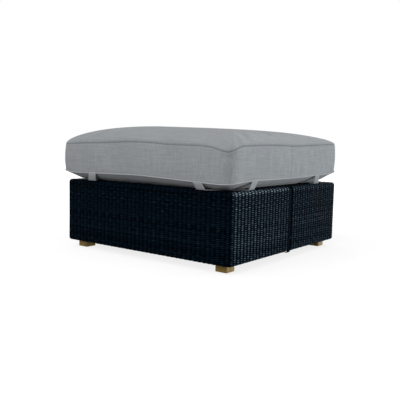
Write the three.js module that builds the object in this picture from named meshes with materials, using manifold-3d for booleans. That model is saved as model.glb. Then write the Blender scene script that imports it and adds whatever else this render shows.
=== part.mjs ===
import * as THREE from 'three';
import { mergeVertices } from 'three/addons/utils/BufferGeometryUtils.js';
import Module from 'manifold-3d';

// A woven patio footstool: a tube frame under a woven resin skin, on four wooden block feet,
// with a boxed cushion that lies loose on the woven deck. Millimetres, +Z up.
// The origin is the middle of the footprint, on the floor. +X is the side with the wrapped
// seam that faces right, -Y the plain front.

const wasm = await Module();
wasm.setup();

// Woven skin: the whole size, and how the skin turns round the frame
const baseSide = 800;
const skinHeight = 246;
const floorGap = 28;
const cornerRadius = 20;
const rimRadius = 12;
const hemRadius = 10;
const skinThickness = 4;
const edgeReturn = 16;
const rollSteps = 3;
const cornerStakes = 2;
const liningPitch = 126;

// Stakes: the upright strips that the strands pass over and under
const stakePitch = 20;
const stakeRelief = 0.9;

// Wrapped seam in the middle of the two sides, where the front and rear runs meet
const seamWidth = 24;
const seamRecess = 2;
const seamEdgeTuck = 1.5;
const seamEdgeRound = 4;
const wrapTail = 5;
const wrapTailBulge = 2;

// Frame tubes
const tubeSize = 25;
const tubeWall = 1.5;
const tubeRadius = 8;
const postInset = 6.7;
const barSize = 20;
const barCount = 3;
const barRadius = 3;

// Feet: a corner plate, a wooden block, its bolt and its glide
const plateSide = 88;
const platePlane = 41;
const plateThickness = 4;
const plateClip = 34;
const footSide = 48;
const footInset = 33;
const footEdgeRadius = 2.5;
const footBevel = 1;
const boltRadius = 4;
const boltHeadRadius = 7.5;
const boltHeadHeight = 5.5;
const boltFlangeRadius = 10;
const boltFlangeHeight = 1.6;
const boltDepth = 24;
const boltBoreSpare = 3;
const glideRadius = 15;
const glideStand = 1;
const glideRecess = 2;
const glideEdge = 0.8;
const glideStemRadius = 3;
const glideStemLength = 7;

// Cushion: a boxed cover whose seams dip at the corners
const cushionOverhang = 10;
const cushionRadius = 42;
const bottomSeamRise = 30;
const boxingHeight = 121;
const crownHeight = 70;
const topCornerDip = 23;
const bottomCornerDip = 9;
const cornerDipReach = 75;
const boxingBulge = 5;
const sideDraw = 5;
const bellyReach = 130;
const crownPowerShare = 2.2;
const crownRoundShare = 0.33;
const sideSteps = 11;
const cushionCornerSteps = 5;
const boxingSteps = 4;
const panelShares = [0.3, 0.52, 0.7, 0.83, 0.92, 0.975];

// Corner straps: flat bands sewn into the bottom seam and passed under each corner
const strapWidth = 38;
const strapThickness = 1.6;
const strapReach = 150;
const strapTuck = 4;
const strapDrop = 2.5;
const strapSteps = 14;
const strapFallShare = 0.3;

// Running values that every fit shares
const clearance = 0.3;
const cutOverrun = 2;
const roundSegments = 20;
const edgeSteps = 2;
const hexSides = 6;

// Sizes worked out from those above
const halfBase = baseSide / 2;
const deckTop = floorGap + skinHeight;
const seamHalf = seamWidth / 2;
const tubeFace = skinThickness + clearance;
const railTop = deckTop - skinThickness - clearance;
const railFoot = floorGap + skinThickness + clearance;
const railCentre = halfBase - tubeFace - tubeSize / 2;
const railInner = railCentre - tubeSize / 2;
const postCentre = halfBase - postInset - tubeSize / 2;
const postInner = postCentre - tubeSize / 2;
const plateTop = platePlane + plateThickness;
const footCentre = halfBase - footInset - footSide / 2;
const cushionBase = deckTop + clearance;
const halfCushion = halfBase + cushionOverhang;

// Finishes
const finishes = {
  wicker: new THREE.MeshStandardMaterial({ color: 0x18222e, roughness: 0.45, metalness: 0 }),
  frame: new THREE.MeshStandardMaterial({ color: 0x23262a, roughness: 0.5, metalness: 0.6 }),
  wood: new THREE.MeshStandardMaterial({ color: 0xb98d55, roughness: 0.6, metalness: 0 }),
  zinc: new THREE.MeshStandardMaterial({ color: 0x9a9d9f, roughness: 0.35, metalness: 0.9 }),
  glide: new THREE.MeshStandardMaterial({ color: 0x1b1b1c, roughness: 0.6, metalness: 0 }),
  cushion: new THREE.MeshStandardMaterial({ color: 0x9aa0a4, roughness: 0.95, metalness: 0 }),
};

const footstool = new THREE.Group();

function addPiece(name, geometry, material, x = 0, y = 0, z = 0) {
  const mesh = new THREE.Mesh(geometry, material);
  mesh.name = name;
  mesh.position.set(x, y, z);
  footstool.add(mesh);
  return mesh;
}

// A closed geometry from points and triangles, turned so that its faces point out
function closedGeometry(points, triangles) {
  const cross = new THREE.Vector3();
  let volume = 0;
  for (const [a, b, c] of triangles) {
    volume += points[a].dot(cross.crossVectors(points[b], points[c]));
  }
  const turned = volume < 0 ? triangles.map(([a, b, c]) => [a, c, b]) : triangles;
  const geometry = new THREE.BufferGeometry();
  geometry.setAttribute('position', new THREE.Float32BufferAttribute(points.flatMap((p) => p.toArray()), 3));
  geometry.setIndex(turned.flat());
  return geometry;
}

// Solids for cutting and joining
function toSolid(geometry) {
  const bare = geometry.clone();
  bare.deleteAttribute('normal');
  bare.deleteAttribute('uv');
  const merged = mergeVertices(bare);
  const vertProperties = new Float32Array(merged.attributes.position.array);
  const triVerts = new Uint32Array(merged.index.array);
  return new wasm.Manifold(new wasm.Mesh({ numProp: 3, vertProperties, triVerts }));
}

function toGeometry(solid) {
  const { vertProperties, triVerts } = solid.getMesh();
  const geometry = new THREE.BufferGeometry();
  geometry.setAttribute('position', new THREE.BufferAttribute(vertProperties, 3));
  geometry.setIndex(new THREE.BufferAttribute(triVerts, 1));
  return geometry;
}

function uprightCylinder(radius, height, foot, sides = roundSegments) {
  const geometry = new THREE.CylinderGeometry(radius, radius, height, sides);
  geometry.rotateX(Math.PI / 2);
  geometry.translate(0, 0, foot + height / 2);
  return geometry;
}

// A square with rounded corners, as a shape or as a hole in one
function roundedSquare(side, radius, steps, path = new THREE.Shape()) {
  const flat = side / 2 - radius;
  const places = [];
  for (let quarter = 0; quarter < 4; quarter += 1) {
    const start = (quarter * Math.PI) / 2;
    const centre = new THREE.Vector2(flat, flat).rotateAround(new THREE.Vector2(0, 0), start);
    for (let k = 0; k <= steps; k += 1) {
      const angle = start + ((Math.PI / 2) * k) / steps;
      places.push(new THREE.Vector2(radius * Math.cos(angle), radius * Math.sin(angle)).add(centre));
    }
  }
  return path.setFromPoints(places);
}

// A sleeve of rows: each row runs along the sleeve, and neighbouring rows may have other step counts.
// A row is a list of { point, along }, and the rows go round the section once.
function sleeve(rows) {
  const points = [];
  const triangles = [];
  const numbered = rows.map((row) => row.map(({ point, along }) => ({ index: points.push(point) - 1, along })));
  numbered.forEach((row, k) => zipRows(row, numbered[(k + 1) % numbered.length], triangles));
  const first = numbered.map((row) => row[0].index);
  const last = numbered.map((row) => row[row.length - 1].index);
  capLoop(points, first, triangles, false);
  capLoop(points, last, triangles, true);
  return closedGeometry(points, triangles);
}

function zipRows(rowA, rowB, triangles) {
  let a = 0;
  let b = 0;
  while (a < rowA.length - 1 || b < rowB.length - 1) {
    const lastB = b === rowB.length - 1;
    const stepA = lastB || (a < rowA.length - 1 && rowA[a + 1].along <= rowB[b + 1].along);
    if (stepA) {
      triangles.push([rowA[a].index, rowA[a + 1].index, rowB[b].index]);
      a += 1;
    } else {
      triangles.push([rowA[a].index, rowB[b + 1].index, rowB[b].index]);
      b += 1;
    }
  }
}

// Closes an end of a sleeve: the loop is flattened on the plane that fits it
function capLoop(points, loop, triangles, reversed) {
  const normal = new THREE.Vector3();
  loop.forEach((index, k) => {
    const next = points[loop[(k + 1) % loop.length]];
    normal.add(new THREE.Vector3().crossVectors(points[index], next));
  });
  normal.normalize();
  const side = new THREE.Vector3(normal.y, -normal.x, 0);
  if (side.lengthSq() === 0) side.set(1, 0, 0);
  side.normalize();
  const up = new THREE.Vector3().crossVectors(normal, side);
  const flat = loop.map((index) => new THREE.Vector2(points[index].dot(side), points[index].dot(up)));
  for (const [a, b, c] of THREE.ShapeUtils.triangulateShape(flat, [])) {
    const turn = flat[b].clone().sub(flat[a]).cross(flat[c].clone().sub(flat[a]));
    const forward = turn > 0 ? [a, b, c] : [a, c, b];
    const order = reversed ? [forward[0], forward[2], forward[1]] : forward;
    triangles.push(order.map((k) => loop[k]));
  }
}

// The skin's section at a depth below its outer face: under the bottom rail, round the hem,
// up the wall, round the rim and in over the top rail. Each point has the way out of the skin.
function skinSection(depth, steps) {
  const section = [{ inset: edgeReturn, height: floorGap + depth, out: [0, -1] }];
  const rolls = [
    { radius: hemRadius, height: floorGap + hemRadius, start: -Math.PI / 2 },
    { radius: rimRadius, height: deckTop - rimRadius, start: -Math.PI },
  ];
  for (const { radius, height, start } of rolls) {
    for (let k = 0; k <= steps; k += 1) {
      const angle = start - (k / steps) * (Math.PI / 2);
      const out = [Math.cos(angle), Math.sin(angle)];
      const reach = radius - depth;
      section.push({ inset: radius + reach * out[0], height: height + reach * out[1], out });
    }
  }
  section.push({ inset: edgeReturn, height: deckTop - depth, out: [0, 1] });
  return section;
}

// Places along one woven run, from the right-hand seam round the front to the left-hand seam.
// Each has a point on the outer face, the way in, the distance walked and the stake's relief.
function runPlaces(pitch, relief) {
  const places = [];
  const straight = halfBase - cornerRadius;
  let walked = 0;
  const addStraight = (from, to, inward, skipFirst) => {
    const length = from.distanceTo(to);
    const steps = Math.max(1, Math.round(length / pitch)) * 2;
    for (let k = skipFirst ? 1 : 0; k <= steps; k += 1) {
      const point = from.clone().lerp(to, k / steps);
      places.push({ point, inward, along: walked + (length * k) / steps, relief: k % 2 ? relief : 0 });
    }
    walked += length;
  };
  const addCorner = (centre, start) => {
    const steps = cornerStakes * 2;
    for (let k = 1; k <= steps; k += 1) {
      const angle = start - (k / steps) * (Math.PI / 2);
      const inward = new THREE.Vector2(-Math.cos(angle), -Math.sin(angle));
      const point = centre.clone().addScaledVector(inward, -cornerRadius);
      const share = (Math.PI / 2) * (k / steps);
      places.push({ point, inward, along: walked + cornerRadius * share, relief: k % 2 ? relief : 0 });
    }
    walked += cornerRadius * (Math.PI / 2);
  };
  const right = new THREE.Vector2(-1, 0);
  const front = new THREE.Vector2(0, 1);
  const left = new THREE.Vector2(1, 0);
  addStraight(new THREE.Vector2(halfBase, -seamHalf), new THREE.Vector2(halfBase, -straight), right, false);
  addCorner(new THREE.Vector2(straight, -straight), 0);
  addStraight(new THREE.Vector2(straight, -halfBase), new THREE.Vector2(-straight, -halfBase), front, true);
  addCorner(new THREE.Vector2(-straight, -straight), -Math.PI / 2);
  addStraight(new THREE.Vector2(-halfBase, -straight), new THREE.Vector2(-halfBase, -seamHalf), left, true);
  return places;
}

// Tucks the outer face in at a run's two ends, where the strands turn back into the seam
function withTuckedEnds(places) {
  const tucked = places.map((place) => ({ ...place }));
  for (const [end, next] of [[0, 1], [tucked.length - 1, tucked.length - 2]]) {
    const edge = tucked[end];
    const neighbour = tucked[next];
    const length = edge.point.distanceTo(neighbour.point);
    const shift = Math.min(seamEdgeRound, length / 2) / length;
    const inner = { ...edge, point: edge.point.clone().lerp(neighbour.point, shift), relief: 0 };
    inner.along = edge.along + (neighbour.along - edge.along) * shift;
    edge.relief = -seamEdgeTuck;
    tucked.splice(end === 0 ? 1 : tucked.length - 1, 0, inner);
  }
  return tucked;
}

function rowsAlong(places, section) {
  return section.map(({ inset, height, out }) => places.map(({ point, inward, along, relief }) => {
    const depth = inset + out[0] * relief;
    const level = height + out[1] * relief;
    return { point: new THREE.Vector3(point.x + inward.x * depth, point.y + inward.y * depth, level), along };
  }));
}

function wovenRun() {
  const outerPlaces = withTuckedEnds(runPlaces(stakePitch, stakeRelief));
  const outer = rowsAlong(outerPlaces, skinSection(stakeRelief, rollSteps));
  const lining = rowsAlong(runPlaces(liningPitch, 0), skinSection(skinThickness, rollSteps));
  return sleeve([...outer, ...lining.reverse()]);
}

// The band wound round the middle upright and the rails, with the tail that hangs under the hem
function seamWrap() {
  const width = seamWidth - clearance * 2;
  const crossSteps = 4;
  const places = [];
  for (let k = 0; k <= crossSteps; k += 1) {
    const across = (k / crossSteps - 1 / 2) * width;
    const bow = 1 - (2 * across / width) ** 2;
    const point = new THREE.Vector2(halfBase, across);
    places.push({ point, inward: new THREE.Vector2(-1, 0), along: across + width, relief: 0, bow });
  }
  const face = skinSection(seamRecess, rollSteps + 1);
  const back = skinSection(skinThickness, rollSteps + 1);
  const faceRows = face.map(({ inset, height, out }, k) => places.map(({ point, along, bow }) => {
    const tail = k <= 2 ? wrapTail + wrapTailBulge * bow : 0;
    const depth = inset - out[0] * (1 - bow);
    const level = height - tail;
    return { point: new THREE.Vector3(point.x - depth, point.y, level), along };
  }));
  return sleeve([...faceRows, ...rowsAlong(places, back).reverse()]);
}

for (const [name, turn] of [['wicker_run_front', 0], ['wicker_run_rear', Math.PI]]) {
  addPiece(name, wovenRun(), finishes.wicker).rotation.z = turn;
}
for (const [name, turn] of [['seam_wrap_right', 0], ['seam_wrap_left', Math.PI]]) {
  addPiece(name, seamWrap(), finishes.wicker).rotation.z = turn;
}

// Woven deck: stakes as ribs from front to back, cut to the opening that the rim leaves
function wovenDeck() {
  const side = (halfBase - edgeReturn - clearance) * 2;
  const ribs = Math.round(side / stakePitch);
  const blankHalf = side / 2 + cutOverrun;
  const outline = new THREE.Shape();
  outline.moveTo(-blankHalf, deckTop - skinThickness);
  outline.lineTo(blankHalf, deckTop - skinThickness);
  outline.lineTo(blankHalf, deckTop - stakeRelief);
  for (let k = 0; k < ribs; k += 1) {
    const valley = side / 2 - (side * k) / ribs;
    outline.lineTo(valley, deckTop - stakeRelief);
    outline.lineTo(valley - side / ribs / 2, deckTop);
  }
  outline.lineTo(-side / 2, deckTop - stakeRelief);
  outline.lineTo(-blankHalf, deckTop - stakeRelief);
  outline.closePath();
  const blank = new THREE.ExtrudeGeometry(outline, { depth: blankHalf * 2, bevelEnabled: false });
  blank.rotateX(Math.PI / 2);
  blank.translate(0, blankHalf, 0);
  const cornerLeft = cornerRadius - edgeReturn - clearance;
  const plan = new THREE.ExtrudeGeometry(roundedSquare(side, cornerLeft, edgeSteps), {
    depth: deckTop,
    bevelEnabled: false,
  });
  return toGeometry(toSolid(blank).intersect(toSolid(plan)));
}
addPiece('woven_deck', wovenDeck(), finishes.wicker);

// Frame: rails top and bottom, corner posts, middle uprights at the seams, and deck bars
function tube(length, size, radius) {
  const section = roundedSquare(size, radius, rollSteps);
  const bore = size - tubeWall * 2;
  section.holes.push(roundedSquare(bore, radius - tubeWall, rollSteps, new THREE.Path()));
  const geometry = new THREE.ExtrudeGeometry(section, { depth: length, bevelEnabled: false });
  return geometry.translate(0, 0, -length / 2);
}

const railLength = (postInner - clearance) * 2;
const sides = [
  { side: 'front', x: 0, y: -railCentre, alongX: true },
  { side: 'rear', x: 0, y: railCentre, alongX: true },
  { side: 'left', x: -railCentre, y: 0, alongX: false },
  { side: 'right', x: railCentre, y: 0, alongX: false },
];
for (const { side, x, y, alongX } of sides) {
  for (const [level, z] of [['top', railTop - tubeSize / 2], ['bottom', railFoot + tubeSize / 2]]) {
    const rail = addPiece(`rail_${level}_${side}`, tube(railLength, tubeSize, tubeRadius), finishes.frame, x, y, z);
    if (alongX) rail.rotation.y = Math.PI / 2;
    else rail.rotation.x = Math.PI / 2;
  }
}

const uprightFoot = railFoot + tubeSize + clearance;
const uprightTop = railTop - tubeSize - clearance;
for (const [side, x] of [['left', -railCentre], ['right', railCentre]]) {
  const upright = tube(uprightTop - uprightFoot, tubeSize, tubeRadius);
  addPiece(`mid_upright_${side}`, upright, finishes.frame, x, 0, (uprightTop + uprightFoot) / 2);
}

const barLength = (railInner - clearance) * 2;
for (let k = 0; k < barCount; k += 1) {
  const y = railInner * (2 * (k + 1) / (barCount + 1) - 1);
  const bar = tube(barLength, barSize, barRadius);
  addPiece(`deck_bar_${k + 1}`, bar, finishes.frame, 0, y, railTop - barSize / 2).rotation.y = Math.PI / 2;
}

// Corner pieces, made once for the corner at +X +Y and turned to the other three
function footPlate() {
  const outer = railInner - clearance;
  const inner = outer - plateSide;
  const outline = new THREE.Shape();
  outline.moveTo(outer, outer);
  outline.lineTo(inner, outer);
  outline.lineTo(inner, inner + plateClip);
  outline.lineTo(inner + plateClip, inner);
  outline.lineTo(outer, inner);
  outline.closePath();
  const hole = new THREE.Path();
  hole.absarc(footCentre, footCentre, boltRadius + clearance, 0, Math.PI * 2, true);
  outline.holes.push(hole);
  const plate = new THREE.ExtrudeGeometry(outline, {
    depth: plateThickness,
    bevelEnabled: false,
    curveSegments: roundSegments / 2,
  });
  return plate.translate(0, 0, platePlane);
}

const footTop = platePlane - clearance;
const boltTip = plateTop + clearance - boltDepth;

function blockFoot() {
  const height = footTop - glideStand;
  const block = new THREE.ExtrudeGeometry(roundedSquare(footSide - footBevel * 2, footEdgeRadius, edgeSteps), {
    depth: height - footBevel * 2,
    bevelEnabled: true,
    bevelThickness: footBevel,
    bevelSize: footBevel,
    bevelSegments: 1,
  });
  block.translate(0, 0, glideStand + footBevel);
  const boltBoreFoot = boltTip - boltBoreSpare;
  const boltBore = uprightCylinder(boltRadius + clearance, footTop + cutOverrun - boltBoreFoot, boltBoreFoot);
  const seatHeight = glideStand + glideRecess + clearance;
  const glideSeat = uprightCylinder(glideRadius + clearance, seatHeight + cutOverrun, -cutOverrun);
  const stemBore = uprightCylinder(glideStemRadius + clearance, seatHeight + glideStemLength, 0);
  return toGeometry(toSolid(block).subtract(toSolid(boltBore)).subtract(toSolid(glideSeat)).subtract(toSolid(stemBore)));
}

function footBolt() {
  const foot = plateTop + clearance;
  const shank = uprightCylinder(boltRadius, foot + boltFlangeHeight / 2 - boltTip, boltTip);
  const flange = uprightCylinder(boltFlangeRadius, boltFlangeHeight, foot);
  const head = uprightCylinder(boltHeadRadius, boltHeadHeight, foot + boltFlangeHeight / 2, hexSides);
  return toGeometry(toSolid(shank).add(toSolid(flange)).add(toSolid(head)));
}

function footGlide() {
  const top = glideStand + glideRecess;
  const profile = [
    [0, 0],
    [glideRadius - glideEdge, 0],
    [glideRadius, glideEdge],
    [glideRadius, top],
    [glideStemRadius, top],
    [glideStemRadius, top + glideStemLength - glideEdge],
    [glideStemRadius - glideEdge, top + glideStemLength],
    [0, top + glideStemLength],
  ].map(([radius, height]) => new THREE.Vector2(radius, height));
  return new THREE.LatheGeometry(profile, roundSegments).rotateX(Math.PI / 2);
}

// Quarter turns from the corner at +X +Y: rear right, rear left, front left, front right
const corners = ['rear_right', 'rear_left', 'front_left', 'front_right'];
corners.forEach((corner, k) => {
  const turn = (k * Math.PI) / 2;
  const place = new THREE.Vector3(footCentre, footCentre, 0).applyAxisAngle(new THREE.Vector3(0, 0, 1), turn);
  const postPlace = place.clone().setLength(postCentre * Math.SQRT2);
  const postFoot = plateTop + clearance;
  const postTop = deckTop - rimRadius - clearance;
  const post = tube(postTop - postFoot, tubeSize, tubeRadius);
  addPiece(`corner_post_${corner}`, post, finishes.frame, postPlace.x, postPlace.y, (postTop + postFoot) / 2);
  addPiece(`foot_plate_${corner}`, footPlate(), finishes.frame).rotation.z = turn;
  addPiece(`block_foot_${corner}`, blockFoot(), finishes.wood, place.x, place.y, 0).rotation.z = turn;
  addPiece(`foot_bolt_${corner}`, footBolt(), finishes.zinc, place.x, place.y, 0);
  addPiece(`foot_glide_${corner}`, footGlide(), finishes.glide, place.x, place.y, 0);
});

// Cushion outline: places round a rounded square whose sides draw in between the corners
function cushionOutline() {
  const flat = halfCushion - cushionRadius;
  const outline = [];
  for (let quarter = 0; quarter < 4; quarter += 1) {
    const turn = (quarter * Math.PI) / 2;
    const addPlace = (x, y) => {
      outline.push(new THREE.Vector2(x, y).rotateAround(new THREE.Vector2(0, 0), turn));
    };
    for (let k = 0; k < sideSteps; k += 1) {
      const share = (2 * k) / sideSteps - 1;
      addPlace(halfCushion - sideDraw * (1 - share ** 2), flat * share);
    }
    for (let k = 0; k < cushionCornerSteps; k += 1) {
      const angle = ((Math.PI / 2) * k) / cushionCornerSteps;
      addPlace(flat + cushionRadius * Math.cos(angle), flat + cushionRadius * Math.sin(angle));
    }
  }
  return outline;
}

// How far a place is into a corner: 1 at the corner's tip, 0 from the dip's reach on
function cornerShare({ x, y }) {
  const tip = halfCushion - cushionRadius * (1 - Math.SQRT1_2);
  const away = Math.hypot(tip - Math.abs(x), tip - Math.abs(y));
  return THREE.MathUtils.smoothstep(cornerDipReach - away, 0, cornerDipReach);
}

const bottomSeamLevel = (place) => cushionBase + bottomSeamRise - bottomCornerDip * cornerShare(place);
const topSeamLevel = (place) => cushionBase + bottomSeamRise + boxingHeight - topCornerDip * cornerShare(place);

// The top panel domes up from its seam, and the bottom panel bellies down to the deck
function crownAt(place) {
  const fall = (q) => 1 - Math.min(1, Math.abs(q) / halfCushion) ** crownPowerShare;
  return crownHeight * (fall(place.x) * fall(place.y)) ** crownRoundShare;
}

function bellyAt(place) {
  const inside = (q) => THREE.MathUtils.smoothstep(halfCushion - Math.abs(q), 0, bellyReach);
  return inside(place.x) * inside(place.y);
}

function cushionBody() {
  const outline = cushionOutline();
  const rings = [];
  const addRing = (levelOf, share, outward) => rings.push(outline.map((edge) => {
    const place = edge.clone().multiplyScalar(share);
    place.addScaledVector(edge.clone().normalize(), outward);
    return new THREE.Vector3(place.x, place.y, levelOf(place));
  }));
  const seamInset = -boxingBulge;
  const bottomLevel = (place) => {
    const seam = bottomSeamLevel(place);
    return seam - (seam - cushionBase) * bellyAt(place);
  };
  const topLevel = (place) => topSeamLevel(place) + crownAt(place);
  const boxingLevel = (up) => (place) => THREE.MathUtils.lerp(bottomSeamLevel(place), topSeamLevel(place), up);
  for (const share of panelShares) addRing(bottomLevel, share, seamInset * share);
  for (let k = 0; k <= boxingSteps; k += 1) {
    const up = k / boxingSteps;
    const swell = boxingBulge * Math.sin(Math.PI * up);
    addRing(boxingLevel(up), 1, seamInset + swell);
  }
  for (const share of [...panelShares].reverse()) addRing(topLevel, share, seamInset * share);

  const points = rings.flat();
  const triangles = [];
  const count = outline.length;
  for (let level = 0; level < rings.length - 1; level += 1) {
    for (let k = 0; k < count; k += 1) {
      const a = level * count + k;
      const b = level * count + ((k + 1) % count);
      triangles.push([a, b, b + count], [a, b + count, a + count]);
    }
  }
  const centre = new THREE.Vector2(0, 0);
  const under = points.push(new THREE.Vector3(0, 0, cushionBase)) - 1;
  const summit = points.push(new THREE.Vector3(0, 0, topSeamLevel(centre) + crownAt(centre))) - 1;
  const lastRing = (rings.length - 1) * count;
  for (let k = 0; k < count; k += 1) {
    const next = (k + 1) % count;
    triangles.push([under, next, k], [summit, lastRing + k, lastRing + next]);
  }
  return closedGeometry(points, triangles);
}
addPiece('seat_cushion', cushionBody(), finishes.cushion);

// A strap hangs from the bottom seam on one side, lies on the deck and climbs to the other side.
// Its two edges are lines of their own, so that both ends are cut along the seam.
function cornerStrap() {
  const seamReach = halfCushion - strapTuck;
  const seamPlace = new THREE.Vector2(seamReach, halfCushion - strapReach);
  const high = bottomSeamLevel(seamPlace) - strapDrop;
  const low = deckTop + clearance + strapThickness / 2;
  const edgeLine = (side) => {
    const along = seamPlace.y + side * strapWidth * Math.SQRT1_2;
    return [new THREE.Vector2(seamReach, along), new THREE.Vector2(along, seamReach)];
  };
  const levels = [];
  for (let k = 0; k <= strapSteps; k += 1) {
    const climb = THREE.MathUtils.smoothstep(Math.abs((2 * k) / strapSteps - 1), strapFallShare, 1);
    levels.push(THREE.MathUtils.lerp(low, high, climb));
  }
  const rows = [[-1, -1], [1, -1], [1, 1], [-1, 1]].map(([side, face]) => {
    const [start, end] = edgeLine(side);
    return levels.map((level, k) => {
      const place = start.clone().lerp(end, k / strapSteps);
      const point = new THREE.Vector3(place.x, place.y, level + (face * strapThickness) / 2);
      return { point, along: k };
    });
  });
  return sleeve(rows);
}
corners.forEach((corner, k) => {
  addPiece(`corner_strap_${corner}`, cornerStrap(), finishes.cushion).rotation.z = (k * Math.PI) / 2;
});

export default footstool;
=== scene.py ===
# %% [markdown]
# # A woven patio footstool
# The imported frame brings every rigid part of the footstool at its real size: tubes, foot plates,
# wooden feet, bolts and glides. This lesson dresses it. The woven resin skin is made strand by
# strand, the cushion is sewn and blown up like the real one, and every finish is a node material.
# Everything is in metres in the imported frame, so each piece is made where it belongs.

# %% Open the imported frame
import math

import bpy
import numpy as np
from mathutils import Matrix, Vector
from mathutils.bvhtree import BVHTree


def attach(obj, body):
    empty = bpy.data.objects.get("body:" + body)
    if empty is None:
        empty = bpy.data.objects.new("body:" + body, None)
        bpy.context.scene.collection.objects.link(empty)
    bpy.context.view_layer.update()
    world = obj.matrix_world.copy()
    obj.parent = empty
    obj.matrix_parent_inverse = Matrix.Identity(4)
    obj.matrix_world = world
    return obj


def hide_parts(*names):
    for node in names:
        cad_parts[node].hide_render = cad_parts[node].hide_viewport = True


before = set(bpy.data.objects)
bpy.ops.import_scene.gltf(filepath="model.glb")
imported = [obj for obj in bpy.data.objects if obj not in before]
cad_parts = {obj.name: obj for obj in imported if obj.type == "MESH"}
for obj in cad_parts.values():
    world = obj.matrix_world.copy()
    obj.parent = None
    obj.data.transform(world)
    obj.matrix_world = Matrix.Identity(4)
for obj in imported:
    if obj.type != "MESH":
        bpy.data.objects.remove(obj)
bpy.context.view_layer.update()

MM = 0.001

# %% [markdown]
# ## Camera
# The picture was taken from a little above the deck, past the near corner, with a slight roll of
# the camera. The place and angles below were solved from the straight edges of the woven box, and
# the lens from how fast those edges close in. A camera that is solved, and not guessed, lets every
# later piece be compared with the picture edge by edge.

# %% Set up the camera
CAMERA_PLACE = Vector((1.4030, -1.8868, 0.4300))
CAMERA_YAW, CAMERA_PITCH, CAMERA_ROLL = (math.radians(a) for a in (-37.20, 5.79, 1.30))
CAMERA_LENS = 50.86

forward = Vector((math.sin(CAMERA_YAW) * math.cos(CAMERA_PITCH),
                  math.cos(CAMERA_YAW) * math.cos(CAMERA_PITCH), -math.sin(CAMERA_PITCH)))
level_right = Vector((math.cos(CAMERA_YAW), -math.sin(CAMERA_YAW), 0))
level_down = forward.cross(level_right)
right = level_right * math.cos(CAMERA_ROLL) - level_down * math.sin(CAMERA_ROLL)
down = level_right * math.sin(CAMERA_ROLL) + level_down * math.cos(CAMERA_ROLL)

camera = bpy.data.objects.new("camera", bpy.data.cameras.new("camera"))
bpy.context.scene.collection.objects.link(camera)
camera.data.lens = CAMERA_LENS
camera.data.sensor_width = 36
camera_turn = Matrix((right, -down, -forward)).transposed().to_4x4()
camera.matrix_world = Matrix.Translation(CAMERA_PLACE) @ camera_turn
bpy.context.scene.camera = camera
print("camera looks along", [round(v, 3) for v in forward])

# %% [markdown]
# ## Studio
# The picture has a plain white ground with a faint shadow under the object. The light on the
# object stays plain: a soft sky, one wide lamp high in front, and a small low lamp far off behind
# on the right, which lights the right side more evenly than a near lamp would. What the camera, a
# mirror or glass sees of the floor and the sky is lifted to white by the Light Path node, so the
# white ground costs no extra light on the cushion, and the floor still keeps the shadow. The glow
# of the floor starts under the footstool, some way in from its edge, and is full well outside it,
# where the picture's floor is white.

# %% Shared node helpers
def blank_material(name):
    """A new node material and its main shader."""
    material = bpy.data.materials.new(name)
    material.use_nodes = True
    return material, material.node_tree.nodes.get("Principled BSDF")


def add_node(tree, kind, settings=(), inputs=()):
    """One node with its settings, and its input values or the sockets that feed them."""
    node = tree.nodes.new("ShaderNode" + kind)
    for key, value in dict(settings).items():
        setattr(node, key, value)
    for key, value in dict(inputs).items():
        if isinstance(value, bpy.types.NodeSocket):
            tree.links.new(value, node.inputs[key])
        else:
            node.inputs[key].default_value = value
    return node


def maths(tree, operation, first, second=0.0):
    """One Math node's result."""
    return add_node(tree, "Math", {"operation": operation}, {0: first, 1: second}).outputs[0]


def seen_directly(tree):
    """1 for a ray from the camera, a mirror or glass, and 0 for soft light."""
    path = add_node(tree, "LightPath").outputs
    shiny = maths(tree, "MAXIMUM", path["Is Glossy Ray"], path["Is Transmission Ray"])
    return maths(tree, "MAXIMUM", path["Is Camera Ray"], shiny)

# %% Sky, floor and lamps
SKY_LEVEL = 0.62
LAMPS = {
    "wide_lamp": {"place": (0.3, -2.5, 1.85), "level": 0.33, "size": (2.0, 2.0),
                  "colour": (1.0, 1.0, 1.0)},
    "side_lamp": {"place": (5.21, 5.99, 0.20), "level": 0.73, "size": (0.84, 0.57),
                  "colour": (0.94, 0.98, 1.0)},
}
LAMP_TARGET = Vector((0, 0, 0.25))
FLOOR_SIZE = 14
FLOOR_COLOUR = (0.36, 0.36, 0.36, 1)
SHADOW_SHARE = 0.28
FLOOR_GLOW = 0.81
DEEP_SHADE, FAR_SHADE = (0.20, 0.295), 0.09
FAR_GLOW, FAR_FROM, FAR_TO = 0.30, 0.55, 1.1

world = bpy.data.worlds.new("soft_sky")
world.use_nodes = True
sky = world.node_tree
sky.nodes.clear()
plain = add_node(sky, "Background", (), {"Color": (1, 1, 1, 1), "Strength": SKY_LEVEL})
white = add_node(sky, "Background", (), {"Color": (1, 1, 1, 1), "Strength": 1.0})
mixed = add_node(sky, "MixShader", (), {0: seen_directly(sky), 1: plain.outputs[0], 2: white.outputs[0]})
add_node(sky, "OutputWorld", (), {"Surface": mixed.outputs[0]})
bpy.context.scene.world = world

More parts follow.
